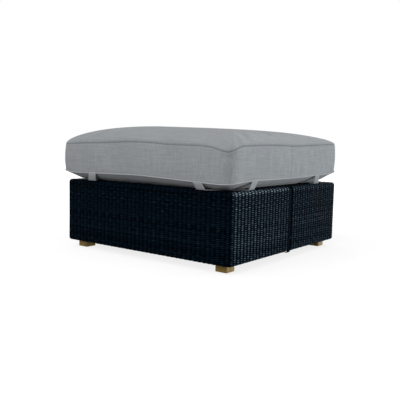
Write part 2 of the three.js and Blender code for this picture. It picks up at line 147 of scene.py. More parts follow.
floor_finish, floor_shader = blank_material("studio_floor")
tree = floor_finish.node_tree
tree.nodes.remove(floor_shader)
pale = add_node(tree, "BsdfDiffuse", (), {"Color": FLOOR_COLOUR})
shaded = add_node(tree, "BsdfDiffuse", (), {"Color": (SHADOW_SHARE, SHADOW_SHARE, SHADOW_SHARE, 1)})
place = add_node(tree, "SeparateXYZ", (), {0: add_node(tree, "NewGeometry").outputs["Position"]}).outputs
far_side = maths(tree, "MAXIMUM", maths(tree, "MULTIPLY", place[0], -1.0), place[1])
near_side = maths(tree, "MAXIMUM", maths(tree, "MULTIPLY", place[1], -1.0), place[0])
# Under the footstool the glow is left out, so the floor there shows its real deep shadow, and the outline of
# that dark patch is painted shade.
from_middle = maths(tree, "MAXIMUM", near_side, maths(tree, "SUBTRACT", far_side, FAR_SHADE))
open_floor = add_node(tree, "MapRange", {"interpolation_type": "SMOOTHSTEP"}, {
    "Value": from_middle, "From Min": DEEP_SHADE[0], "From Max": DEEP_SHADE[1],
    "To Min": 0.0, "To Max": FLOOR_GLOW})
far_floor = add_node(tree, "MapRange", {"interpolation_type": "SMOOTHSTEP"}, {
    "Value": from_middle, "From Min": FAR_FROM, "From Max": FAR_TO,
    "To Min": 0.0, "To Max": FAR_GLOW})
glow_level = maths(tree, "ADD", open_floor.outputs[0], far_floor.outputs[0])
glow = add_node(tree, "Emission", (), {"Color": (1, 1, 1, 1), "Strength": glow_level})
ground = add_node(tree, "AddShader", (), {0: shaded.outputs[0], 1: glow.outputs[0]})
both = add_node(tree, "MixShader", (), {0: seen_directly(tree), 1: pale.outputs[0], 2: ground.outputs[0]})
tree.links.new(both.outputs[0], tree.nodes["Material Output"].inputs["Surface"])

bpy.ops.mesh.primitive_plane_add(size=FLOOR_SIZE, location=(0, 0, 0))
floor = bpy.context.object
floor.name = "floor"
floor.data.materials.append(floor_finish)

for lamp_name, plan in LAMPS.items():
    lamp = bpy.data.objects.new(lamp_name, bpy.data.lights.new(lamp_name, "AREA"))
    bpy.context.scene.collection.objects.link(lamp)
    way = Vector(plan["place"]) - LAMP_TARGET
    lamp.data.shape = "RECTANGLE"
    lamp.data.size, lamp.data.size_y = plan["size"]
    lamp.data.color = plan["colour"]
    lamp.data.energy = plan["level"] * (math.pi * way.length) ** 2
    lamp.location = plan["place"]
    lamp.rotation_mode = "QUATERNION"
    lamp.rotation_quaternion = way.to_track_quat("Z", "Y")
    print(lamp_name, "power", round(lamp.data.energy, 1), "W")
bpy.context.scene.view_settings.view_transform = "Standard"

# %% [markdown]
# ## Making many strands at once
# The skin has about a hundred and fifty strands, each some metre and a half long, so they are made
# by numbers and not one curve at a time. A strand is a small flat section carried along a line.
# The helper takes all the lines of a piece as one array, and every mesh that it makes is closed.
# It also lays the strands side by side on a map, which keeps their colour when the model is
# exported, and keeps the real length along each strand for the fine grain of the resin.

# %% Closed meshes from numbers
def closed_mesh(name, points, face_groups, material, body, maps=None):
    """A smooth piece from points and arrays of faces, turned to face outwards."""
    points = np.asarray(points, float).reshape(-1, 3)
    first = face_groups[0]
    a, b, c = (points[first[:, k]] for k in range(3))
    volume = np.einsum("ij,ij->", a, np.cross(b, c))
    if first.shape[1] == 4:
        volume += np.einsum("ij,ij->", a, np.cross(c, points[first[:, 3]]))
    groups = [faces if volume > 0 else faces[:, ::-1] for faces in face_groups]
    mesh = bpy.data.meshes.new(name)
    mesh.vertices.add(len(points))
    mesh.vertices.foreach_set("co", points.ravel())
    corners = np.concatenate([faces.ravel() for faces in groups])
    sizes = np.concatenate([np.full(len(faces), faces.shape[1]) for faces in groups])
    mesh.loops.add(len(corners))
    mesh.loops.foreach_set("vertex_index", corners)
    mesh.polygons.add(len(sizes))
    mesh.polygons.foreach_set("loop_start", np.concatenate([[0], np.cumsum(sizes)[:-1]]))
    for map_name, places in (maps or {}).items():
        turned = [p if volume > 0 else p[:, ::-1] for p in places]
        layer = mesh.uv_layers.new(name=map_name)
        layer.uv.foreach_set("vector", np.concatenate([p.reshape(-1, 2) for p in turned]).ravel())
    mesh.update(calc_edges=True)
    mesh.validate()
    mesh.polygons.foreach_set("use_smooth", np.ones(len(sizes), bool))
    piece = bpy.data.objects.new(name, mesh)
    bpy.context.scene.collection.objects.link(piece)
    mesh.materials.append(material)
    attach(piece, body)
    return piece

# %% Sections carried along lines
MAP_SHARE, MAP_MARGIN = 0.94, 0.03
GRAIN_APART, GRAIN_ROUND = 0.37, 8 * MM


def carried(centres, across, out, profile):
    """Sections carried along many lines: points, side faces, end faces and their two maps."""
    profile = np.asarray(profile, float)
    rings = (centres[..., None, :] + across[..., None, :] * profile[:, 0, None]
             + out[..., None, :] * profile[:, 1, None])
    lines, samples, corners = rings.shape[:3]
    index = np.arange(lines * samples * corners).reshape(lines, samples, corners)
    here, ahead = index[:, :-1], index[:, 1:]
    sides = np.stack([here, ahead, np.roll(ahead, -1, 2), np.roll(here, -1, 2)], -1).reshape(-1, 4)
    ends = np.concatenate([index[:, 0], index[:, -1, ::-1]])
    steps = np.linalg.norm(np.diff(centres, axis=1), axis=2)
    walked = np.concatenate([np.zeros((lines, 1)), np.cumsum(steps, 1)], 1)
    line, sample, corner = np.meshgrid(np.arange(lines), np.arange(samples - 1), np.arange(corners),
                                       indexing="ij")
    round_share = np.stack([corner, corner, corner + 1, corner + 1], -1) / corners
    ahead_by = np.array([0, 1, 1, 0])
    length = walked[line[..., None], sample[..., None] + ahead_by]
    strip = (line[..., None] + round_share * MAP_SHARE + MAP_MARGIN) / lines
    layout = np.stack([length / walked.max(), strip], -1)
    grain = np.stack([length + line[..., None] * GRAIN_APART, round_share * GRAIN_ROUND], -1)
    end_layout = np.zeros((len(ends), corners, 2))
    end_layout[..., 1] = ((np.arange(len(ends)) % lines + 0.5) / lines)[:, None]
    end_grain = np.repeat(end_layout[:, :1], corners, 1)
    maps = {"OFBake": [layout.reshape(-1, 4, 2), end_layout],
            "strand_grain": [grain.reshape(-1, 4, 2), end_grain]}
    return rings, [sides, ends], maps

# %% [markdown]
# ## Resin strand finish
# The strands are extruded resin, dyed through in a blue that is nearly black, with fine lines
# drawn along them by the die. They are nearly matt, so what shows is tone. The tone carries painted
# light and shade: the bows that stand in front are painted lighter than the strands behind, the
# bows on the two sides that have a seam get a painted highlight, and the rim there a brighter
# painted highlight. On the front and the rear the rim is painted dark, a painted shadow of the
# cushion that hangs over it. So the strand has four tones, from dark to the rim's painted
# highlight, while the stakes and the windings are painted darker, a painted shade for lying
# deeper, and have two.
# The lines come from noise that is stretched along the strand's own map, and the tone from a
# number stored on each point, so that both follow the weave round every bend.

# %% Resin strand material
STRAND_DARK = (0.0001, 0.0004, 0.0010, 1)
STRAND_LIGHT = (0.0050, 0.0140, 0.0245, 1)
STRAND_GLINT, STRAND_RIM_HIGHLIGHT = (0.055, 0.085, 0.110, 1), (0.20, 0.25, 0.29, 1)
STRAND_ROUGHNESS = (0.18, 0.26)
STRAND_SHINE, STAKE_SHINE = 0.003, 0.0
SHINE_TINT = (0.78, 0.92, 1.0, 1)
# the stakes are painted darker than the strands, a painted shade for lying deeper in the weave
STAKE_LIGHT = (0.0008, 0.0020, 0.0036, 1)
# the seam band's windings are painted dark and dull, a painted shade for the recessed band
WINDING_LIGHT, WINDING_SHINE = (0.0030, 0.0075, 0.0125, 1), 0.001
TONE_BASE, TONE_SPREAD = -0.50, 0.22
# painted light on the bows in front and painted shade on the strands behind the stakes
CREST_PAINTED_LIFT, CREST_POWER = 0.27, 6
# strength of the painted highlight on the seam sides' bows and rim, and of the painted shadow on the front
# and rear rim
GLINT_LIFT, RIM_HIGHLIGHT_LIFT, RIM_SHADE = 1.25, 2.2, 0.30
# where on the rim of the seam sides the painted highlight is brightest, and how wide it is
RIM_ROLLED, RIM_HIGHLIGHT_SPREAD = 5 * MM, 5 * MM
# how strong the painted highlight is on each run's seam sides, at the seam and at the corner
GLINT_AT = {"front": (0.70, 1.0), "rear": (0.54, 0.38)}
SIDE_POWER = 8
DIE_LINES, WORN_PATCHES = (14, 2600, 1), (30, 60, 1)
LINE_SHARE, WORN_SHARE, TONE_ZERO = 0.35, 0.35, 0.30


def strand_material(name, stops, shine):
    material, shader = blank_material(name)
    tree = material.node_tree
    grain_map = add_node(tree, "UVMap", {"uv_map": "strand_grain"}).outputs[0]
    lines = add_node(tree, "Mapping", (), {"Vector": grain_map, "Scale": DIE_LINES})
    drawn = add_node(tree, "TexNoise", {"noise_dimensions": "2D"},
                     {"Vector": lines.outputs[0], "Scale": 1.0, "Detail": 2.0})
    patches = add_node(tree, "Mapping", (), {"Vector": grain_map, "Scale": WORN_PATCHES})
    worn = add_node(tree, "TexNoise", {"noise_dimensions": "2D"},
                    {"Vector": patches.outputs[0], "Scale": 1.0, "Detail": 3.0})
    tone = add_node(tree, "Attribute", {"attribute_name": "strand_tone"}).outputs["Fac"]
    streaked = maths(tree, "MULTIPLY_ADD", drawn.outputs[0], LINE_SHARE)
    tree.links.new(tone, streaked.node.inputs[2])
    share = maths(tree, "MULTIPLY_ADD", worn.outputs[0], WORN_SHARE)
    tree.links.new(streaked, share.node.inputs[2])
    ramp = add_node(tree, "ValToRGB", (), {"Fac": maths(tree, "SUBTRACT", share, TONE_ZERO)})
    ramp.color_ramp.elements[1].position = stops[-1][0]
    for spot, _ in stops[1:-1]:
        ramp.color_ramp.elements.new(spot)
    for element, (_, colour) in zip(ramp.color_ramp.elements, stops):
        element.color = colour
    tree.links.new(ramp.outputs[0], shader.inputs["Base Color"])
    rough = add_node(tree, "MapRange", (), {"Value": worn.outputs[0], "To Min": STRAND_ROUGHNESS[0],
                                            "To Max": STRAND_ROUGHNESS[1]})
    tree.links.new(rough.outputs[0], shader.inputs["Roughness"])
    bump = add_node(tree, "Bump", (), {"Strength": 0.08, "Distance": 0.15 * MM, "Height": drawn.outputs[0]})
    tree.links.new(bump.outputs[0], shader.inputs["Normal"])
    shader.inputs["Specular IOR Level"].default_value = shine
    shader.inputs["Specular Tint"].default_value = SHINE_TINT
    return material


strand_tones = ((0, STRAND_DARK), (0.42, STRAND_LIGHT), (0.72, STRAND_GLINT), (1, STRAND_RIM_HIGHLIGHT))
strand_finish = strand_material("resin_strand", strand_tones, STRAND_SHINE)
stake_finish = strand_material("resin_stake", ((0, STRAND_DARK), (1, STAKE_LIGHT)), STAKE_SHINE)
winding_finish = strand_material("resin_winding", ((0, STRAND_DARK), (1, WINDING_LIGHT)), WINDING_SHINE)


def tone_strands(piece, samples_each, seed, crest=None, spread=TONE_SPREAD):
    """Stores a tone on each point: one for each strand, with painted light in front and painted shade
    behind.
    """
    count = len(piece.data.vertices)
    chance = np.random.default_rng(seed)
    own_tones = chance.uniform(0.5 - spread / 2, 0.5 + spread / 2, -(-count // samples_each))
    tones = np.repeat(own_tones, samples_each)[:count]
    # the crest values carry painted light and shade: lighter bows in front, darker strands behind
    if crest is not None:
        tones = tones + CREST_PAINTED_LIFT * np.repeat(crest.ravel(), count // crest.size) + TONE_BASE
    tones = tones.astype(np.float32)
    piece.data.attributes.new("strand_tone", "FLOAT", "POINT").data.foreach_set("value", tones)
    return piece

# %% [markdown]
# ## Shape of the skin
# The woven skin starts under the bottom rail, turns round a hem, climbs the wall, turns over the
# rim and ends on the top rail. One function gives the place and the way out of the surface for
# any distance up that section, and another the line round the front half of the footstool, with
# the stakes counted along it. Strand and stake are both made from these two.

# %% Section and plan of the skin
HALF_BASE = 400 * MM
FLOOR_GAP = 28 * MM
DECK_TOP = 274 * MM
CORNER_RADIUS = 20 * MM
RIM_RADIUS = 12 * MM
HEM_RADIUS = 10 * MM
EDGE_RETURN = 16 * MM
SEAM_HALF = 12 * MM
SIDE_STAKES, CORNER_STAKES, FRONT_STAKES = 18, 2, 38

HEM_START = EDGE_RETURN - HEM_RADIUS
HEM_END = HEM_START + HEM_RADIUS * math.pi / 2
WALL_END = HEM_END + DECK_TOP - FLOOR_GAP - HEM_RADIUS - RIM_RADIUS
RIM_END = WALL_END + RIM_RADIUS * math.pi / 2
SECTION_LENGTH = RIM_END + EDGE_RETURN - RIM_RADIUS


def skin_section(up):
    """Inset, height, turn and bend of the outer face at a distance up the section."""
    hem = np.clip((up - HEM_START) / HEM_RADIUS, 0, math.pi / 2)
    rim = np.clip((up - WALL_END) / RIM_RADIUS, 0, math.pi / 2)
    inset = EDGE_RETURN - np.clip(up, 0, HEM_START) - HEM_RADIUS * np.sin(hem)
    inset = inset + RIM_RADIUS * (1 - np.cos(rim)) + np.clip(up - RIM_END, 0, None)
    height = FLOOR_GAP + HEM_RADIUS * (1 - np.cos(hem)) + np.clip(up - HEM_END, 0, WALL_END - HEM_END)
    height = height + RIM_RADIUS * np.sin(rim)
    on_hem = (up > HEM_START) & (up < HEM_END)
    on_rim = (up > WALL_END) & (up < RIM_END)
    bend = np.where(on_hem, 1 / HEM_RADIUS, np.where(on_rim, 1 / RIM_RADIUS, 0))
    return inset, height, hem + rim, bend


def run_line(steps):
    """Plan of the front run: places, ways in and stake counts, with steps samples a stake."""
    straight = HALF_BASE - CORNER_RADIUS
    quarter = np.linspace(0, math.pi / 2, CORNER_STAKES * steps + 1)
    places, inward = [], []

    def add_side(start, end, way, stakes):
        share = np.linspace(0, 1, stakes * steps + 1)[:, None]
        places.append(np.array(start) * (1 - share) + np.array(end) * share)
        inward.append(np.tile(way, (len(share), 1)))

    def add_corner(centre, start):
        way = np.stack([-np.cos(start - quarter), -np.sin(start - quarter)], 1)
        places.append(np.array(centre) - way * CORNER_RADIUS)
        inward.append(way)

    add_side((HALF_BASE, -SEAM_HALF), (HALF_BASE, -straight), (-1.0, 0.0), SIDE_STAKES)
    add_corner((straight, -straight), 0.0)
    add_side((straight, -HALF_BASE), (-straight, -HALF_BASE), (0.0, 1.0), FRONT_STAKES)
    add_corner((-straight, -straight), -math.pi / 2)
    add_side((-HALF_BASE, -straight), (-HALF_BASE, -SEAM_HALF), (1.0, 0.0), SIDE_STAKES)
    keep = [slice(0 if k == 0 else 1, None) for k in range(len(places))]
    line = np.concatenate([p[k] for p, k in zip(places, keep)])
    ways = np.concatenate([w[k] for w, k in zip(inward, keep)])
    return line, ways, np.arange(len(line)) / steps


def on_skin(line, inward, up, depth):
    """Points under the outer face, with the way out and the way up the section."""
    inset, height, turn, bend = skin_section(up)
    out_in, out_up = -np.sin(turn), -np.cos(turn)
    way_in, way_up = -np.cos(turn), np.sin(turn)
    reach = inset - depth * out_in
    level = height - depth * out_up
    flat = line + inward * reach[..., None]
    points = np.concatenate([flat, level[..., None]], -1)
    rise_shape = level.shape + (1,)
    out_rise = np.broadcast_to(out_up[..., None], rise_shape)
    way_rise = np.broadcast_to(way_up[..., None], rise_shape)
    out = np.concatenate([inward * out_in[..., None], out_rise], -1)
    climb = np.concatenate([inward * way_in[..., None], way_rise], -1)
    return points, out, climb * (1 - depth * bend)[..., None]


print("section", round(SECTION_LENGTH / MM, 1), "mm")

# %% [markdown]
# ## The weave
# Each strand passes in front of one stake and behind the next, and the strand above does the
# opposite. So the surface is a chequer of small bows, which catch the light in upright rows. A
# texture could draw this, but real strands give true bright bows, true dark gaps and a true
# broken outline at the rim, so they are modelled; their tone adds painted light on the bows in
# front and painted shade behind. The strand's bow is a flattened wave, because a stiff strand lies
# flat on a stake and turns quickly between two. Each strand is also rolled a few degrees, so that
# its lower edge laps over the strand below, as hand weaving leaves it. The pitch is a little
# coarser than in the picture, so that the bows read as separate dots.

# %% Strand values and the weaving wave
STRANDS_UP = 74
STRAND_PITCH = SECTION_LENGTH / STRANDS_UP
STRAND_HALF = STRAND_PITCH * 0.62
STRAND_PROFILE = [(-STRAND_HALF, -0.50 * MM), (-0.88 * STRAND_HALF, 0.33 * MM),
                  (-0.60 * STRAND_HALF, 0.52 * MM), (0.60 * STRAND_HALF, 0.52 * MM),
                  (0.88 * STRAND_HALF, 0.33 * MM), (STRAND_HALF, -0.50 * MM)]
STRAND_ROLL = math.radians(6)
STAKE_PROFILE = [(-5.8 * MM, -0.4 * MM), (-5.8 * MM, 0.1 * MM), (-4.0 * MM, 0.5 * MM),
                 (4.0 * MM, 0.5 * MM), (5.8 * MM, 0.1 * MM), (5.8 * MM, -0.4 * MM)]
WEAVE_MIDDLE = 1.80 * MM
WEAVE_BOW = 1.35 * MM
STRAND_DRIFT, DEPTH_SPREAD = 0.28 * MM, 0.05 * MM
TUCK_DEPTH, TUCK_LENGTH = 1.2 * MM, 0.5
STEPS_A_STAKE, DECK_STEPS = 6, 4
RUN_SEED, DECK_SEED, WRAP_SEED = 11, 23, 37


def weave_depth(stake_count, course):
    """Depth of a strand: in front of the stakes of its own parity, behind the others."""
    wave = np.cos(math.pi * (stake_count - 0.5))
    wave = wave * (1 + 0.5 * (1 - wave ** 2))
    return WEAVE_MIDDLE - WEAVE_BOW * wave * np.where(course % 2 == 0, 1, -1)


def crest_share(depth, like):
    """1 where a strand is in front and 0 where it is behind."""
    return np.clip((WEAVE_MIDDLE - np.broadcast_to(depth, like.shape)) / WEAVE_BOW / 2 + 0.5, 0, 1)


def tucked(count):
    """1 at both ends of a strand, which are tucked in, and 0 from half a stake on."""
    return np.clip(1 - np.minimum(count, count[-1] - count) / TUCK_LENGTH, 0, 1) ** 2


def slow_drift(chance, lines, along, size):
    """A small random wander along each strand."""
    waves = chance.uniform(4, 16, (lines, 2, 1))
    starts = chance.uniform(0, 2 * math.pi, (lines, 2, 1))
    return size * np.sin(waves * along + starts).mean(1)


print("strand", round(2 * STRAND_HALF / MM, 1), "mm wide, one every", round(STRAND_PITCH / MM, 2), "mm")

# %% Strands and stakes of one run
def woven_courses(name, courses, turn, seed, glint_strength):
    """The strands of some courses of one run, as one piece."""
    line, inward, count = run_line(STEPS_A_STAKE)
    chance = np.random.default_rng(seed)
    along = np.linspace(0, 1.5, len(line))
    course = np.asarray(courses)[:, None]
    up = (course + 0.5) * STRAND_PITCH + slow_drift(chance, len(courses), along, STRAND_DRIFT)
    depth = weave_depth(count[None, :], course) + chance.normal(0, DEPTH_SPREAD, (len(courses), 1))
    depth = depth + TUCK_DEPTH * tucked(count)
    points, out, climb = on_skin(line[None], inward[None], up, depth)
    across = climb * math.cos(STRAND_ROLL) - out * math.sin(STRAND_ROLL)
    face = out * math.cos(STRAND_ROLL) + climb * math.sin(STRAND_ROLL)
    rings, faces, maps = carried(points, across, face, STRAND_PROFILE)
    rings = rings * np.array([turn, turn, 1])
    piece = closed_mesh(name, rings, faces, strand_finish, "base", maps)
    crest = crest_share(depth, up) ** CREST_POWER
    from_seam = np.clip(np.minimum(count, count[-1] - count) / SIDE_STAKES, 0, 1)
    seam_side = np.abs(inward[:, 0]) ** SIDE_POWER
    # painted highlight on the bows of the two seam sides, graded from the seam to the corner
    glinting = seam_side * (glint_strength[0] + (glint_strength[1] - glint_strength[0]) * from_seam)
    # painted shadow of the overhanging cushion on the rim of the front and rear
    rim_painted_shadow = np.clip((up - WALL_END) / RIM_RADIUS + 1, 0, 1) * (1 - seam_side)
    # a brighter painted highlight along the rim of the seam sides
    rim_highlight = np.exp(-0.5 * ((up - WALL_END - RIM_ROLLED) / RIM_HIGHLIGHT_SPREAD) ** 2)
    lift = crest * (1 + glinting * (GLINT_LIFT + RIM_HIGHLIGHT_LIFT * rim_highlight)) - RIM_SHADE * rim_painted_shadow
    return tone_strands(piece, len(line) * len(STRAND_PROFILE), seed + 1, lift)


def run_stakes(name, turn, seed):
    """The upright strips that the strands of one run pass over and under."""
    line, inward, count = run_line(2)
    line, inward = line[1::2], inward[1::2]
    up = np.concatenate([[0, HEM_START], np.linspace(HEM_START, HEM_END, 6)[1:], [SECTION_LENGTH / 2],
                         np.linspace(WALL_END, RIM_END, 7), [SECTION_LENGTH]])
    up = np.broadcast_to(up, (len(line), len(up)))
    depth = np.full(up.shape, WEAVE_MIDDLE)
    points, out, climb = on_skin(line[:, None], inward[:, None], up, depth)
    level = np.zeros(points.shape)
    level[..., 0], level[..., 1] = -inward[:, None, 1], inward[:, None, 0]
    rings, faces, maps = carried(points, level, out, STAKE_PROFILE)
    rings = rings * np.array([turn, turn, 1])
    piece = closed_mesh(name, rings, faces, stake_finish, "base", maps)
    return tone_strands(piece, up.shape[1] * len(STAKE_PROFILE), seed)

# %% Weave the two runs
low_courses, high_courses = np.arange(STRANDS_UP // 2), np.arange(STRANDS_UP // 2, STRANDS_UP)
for side, turn, seed in (("front", 1, RUN_SEED), ("rear", -1, RUN_SEED + 50)):
    lower = woven_courses(f"{side}_run_lower_strands", low_courses, turn, seed, GLINT_AT[side])
    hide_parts(f"wicker_run_{side}")
    upper = woven_courses(f"{side}_run_upper_strands", high_courses, turn, seed + 2, GLINT_AT[side])
    stakes = run_stakes(f"{side}_run_stakes", turn, seed + 4)
    print(side, "run:", sum(len(p.data.polygons) for p in (lower, upper, stakes)), "faces")

# %% [markdown]
# ## The deck
# The deck is woven the same way, with its stakes from front to rear and its strands from side to
# side. The cushion hides most of it, but its edge shows beside the rim, and all of it shows when
# the cushion is lifted or the footstool is seen from below.

# %% Weave the deck
DECK_HALF = HALF_BASE - EDGE_RETURN - 0.3 * MM
DECK_STAKES = 38
DECK_STRANDS = 206
DECK_CORNER = 3 * MM
DECK_DRIFT, DECK_TUCK = 0.25 * MM, 1.0 * MM
DECK_STAKE_INSET = 0.5 * MM


def deck_courses(name, courses, seed):
    chance = np.random.default_rng(seed)
    count = np.arange(DECK_STAKES * DECK_STEPS + 1) / DECK_STEPS
    course = np.asarray(courses)[:, None]
    pitch = 2 * DECK_HALF / DECK_STRANDS
    half = np.where((course == 0) | (course == DECK_STRANDS - 1), DECK_HALF - DECK_CORNER, DECK_HALF)
    x = (count / DECK_STAKES * 2 - 1)[None] * half
    along = np.linspace(0, 0.8, len(count))
    y = -DECK_HALF + (course + 0.5) * pitch + slow_drift(chance, len(courses), along, DECK_DRIFT)
    depth = weave_depth(count[None], course) + DECK_TUCK * tucked(count)
    points = np.stack([x, y, DECK_TOP - depth], -1)
    across = np.broadcast_to([0.0, pitch / STRAND_PITCH, 0.0], points.shape)
    out = np.broadcast_to([0.0, 0.0, 1.0], points.shape)
    rings, faces, maps = carried(points, across, out, STRAND_PROFILE)
    piece = closed_mesh(name, rings, faces, strand_finish, "base", maps)
    # the deck's bows get the same painted light in front and painted shade behind
    crest = crest_share(depth, x) ** CREST_POWER
    return tone_strands(piece, len(count) * len(STRAND_PROFILE), seed + 1, crest)


def deck_stakes(name, seed):
    x = ((np.arange(DECK_STAKES) + 0.5) / DECK_STAKES * 2 - 1) * DECK_HALF
    y = np.linspace(-1, 1, 9) * (DECK_HALF - DECK_STAKE_INSET)
    x_places, y_places = np.meshgrid(x, y, indexing="ij")
    points = np.stack([x_places, y_places, np.full(x_places.shape, DECK_TOP - WEAVE_MIDDLE)], -1)
    across = np.broadcast_to([1.0, 0.0, 0.0], points.shape)
    out = np.broadcast_to([0.0, 0.0, 1.0], points.shape)
    rings, faces, maps = carried(points, across, out, STAKE_PROFILE)
    piece = closed_mesh(name, rings, faces, stake_finish, "base", maps)
    return tone_strands(piece, len(y) * len(STAKE_PROFILE), seed)


deck_front = deck_courses("deck_front_strands", np.arange(DECK_STRANDS // 2), DECK_SEED)
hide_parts("woven_deck")
deck_rear = deck_courses("deck_rear_strands", np.arange(DECK_STRANDS // 2, DECK_STRANDS), DECK_SEED + 2)
deck_upright = deck_stakes("deck_stakes", DECK_SEED + 4)
print("deck:", sum(len(p.data.polygons) for p in (deck_front, deck_rear, deck_upright)), "faces")

# %% [markdown]
# ## The wrapped seams
# Where the two runs meet, in the middle of the right and the left side, the middle upright is
# wound with a single strand from rim to hem. The windings lie side by side, bow a little over the
# tube and turn in at both edges, so the band is set back from the weave. Its foot hangs just
# below the hem. A winding is made with the same helper, with its line laid across the upright.

# %% Wind the seam wraps
WRAP_RECESS = 2.0 * MM
WRAP_HALF = 12.4 * MM
WRAP_FOOT = 23 * MM
WRAP_FOOT_RADIUS = 7 * MM
WRAP_FOOT_FLAT = 6 * MM
WRAP_TURNS = 72
WRAP_DEPTH, WRAP_TURNED_IN, WRAP_BOW = 0.5 * MM, 1.3 * MM, 0.3 * MM
WRAP_SPREAD = 0.06 * MM


def wrap_section(share):
    """Place and way out of the band's face, from its foot under the hem to the top rail."""
    foot_flat, top_flat = WRAP_FOOT_FLAT, EDGE_RETURN - RIM_RADIUS
    foot_roll = WRAP_FOOT_RADIUS * math.pi / 2
    wall = DECK_TOP - RIM_RADIUS - WRAP_FOOT - WRAP_FOOT_RADIUS
    rim_radius = RIM_RADIUS - WRAP_RECESS
    up = share * (foot_flat + foot_roll + wall + rim_radius * math.pi / 2 + top_flat)
    hem = np.clip((up - foot_flat) / WRAP_FOOT_RADIUS, 0, math.pi / 2)
    wall_end = foot_flat + foot_roll + wall
    rim = np.clip((up - wall_end) / rim_radius, 0, math.pi / 2)
    on_top = np.clip(up - wall_end - rim_radius * math.pi / 2, 0, None)
    inset = WRAP_RECESS + WRAP_FOOT_RADIUS * (1 - np.sin(hem)) + foot_flat - np.clip(up, 0, foot_flat)
    inset = inset + rim_radius * (1 - np.cos(rim)) + on_top
    height = WRAP_FOOT + WRAP_FOOT_RADIUS * (1 - np.cos(hem))
    height = height + np.clip(up - foot_flat - foot_roll, 0, wall)
    return inset, height + rim_radius * np.sin(rim), hem + rim


def seam_wrap(name, turn, seed):
    chance = np.random.default_rng(seed)
    share = (np.arange(WRAP_TURNS) + 0.5)[:, None] / WRAP_TURNS
    y = np.linspace(-1, 1, 9)[None]
    inset, height, angle = wrap_section(share)
    depth = WRAP_DEPTH + WRAP_TURNED_IN * np.abs(y) ** 4 + WRAP_BOW * y ** 2
    depth = depth + chance.normal(0, WRAP_SPREAD, share.shape)
    slant = 0.5 * STRAND_PITCH * y
    out_in, out_up = -np.sin(angle), -np.cos(angle)
    x = HALF_BASE - inset + depth * out_in + np.cos(angle) * slant
    z = height - depth * out_up + np.sin(angle) * slant
    points = np.stack([x, np.broadcast_to(y * WRAP_HALF, x.shape), z], -1)
    ones = np.ones(x.shape)
    out = np.stack([-out_in * ones, 0 * ones, out_up * ones], -1)
    across = np.stack([np.cos(angle) * ones, 0 * ones, np.sin(angle) * ones], -1)
    rings, faces, maps = carried(points, across, out, STRAND_PROFILE)
    rings = rings * np.array([turn, turn, 1])
    piece = closed_mesh(name, rings, faces, winding_finish, "base", maps)
    return tone_strands(piece, y.size * len(STRAND_PROFILE), seed + 1)


for side, turn, seed in (("right", 1, WRAP_SEED), ("left", -1, WRAP_SEED + 9)):
    band = seam_wrap(f"{side}_seam_windings", turn, seed)
    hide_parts(f"seam_wrap_{side}")
    print(band.name, len(band.data.polygons), "faces")

# %% [markdown]
# ## Cushion fabric
# The cover is a light grey outdoor weave, spun from two greys, with slubs that run both ways. At
# this size the eye sees no single thread, only short soft streaks along warp and weft. Noise that
# is stretched along one axis makes the streaks of one thread direction, and each direction shows
# only on the panels that it can lie in. That needs no map and holds on every panel. The rolled lip
# of the lower seam gets the same weave in a lighter shade, a painted highlight along the lip.

# %% Cushion fabric material
FABRIC_DARK = (0.262, 0.279, 0.294, 1)
FABRIC_LIGHT = (0.352, 0.370, 0.386, 1)
LIP_HIGHLIGHT = (0.430, 0.450, 0.466, 1)
SLUB_LENGTH, SLUB_WIDTH = 11, 340
THREAD_LENGTH, THREAD_WIDTH = 60, 1000
SLUB_SHARE, THREAD_SHARE, CLOUD_SHARE = 1.45, 0.55, 0.55
CLOUD_SCALE = 7.0
# painted shade in the seam grooves: how much darker the cloth is drawn, and towards which tint
SEAM_SHADE, SEAM_TINT = 0.62, (0.30, 0.31, 0.33, 1)
SLUB_RELIEF, RELIEF_STRENGTH, RELIEF_DEPTH = 0.8, 0.45, 0.7 * MM


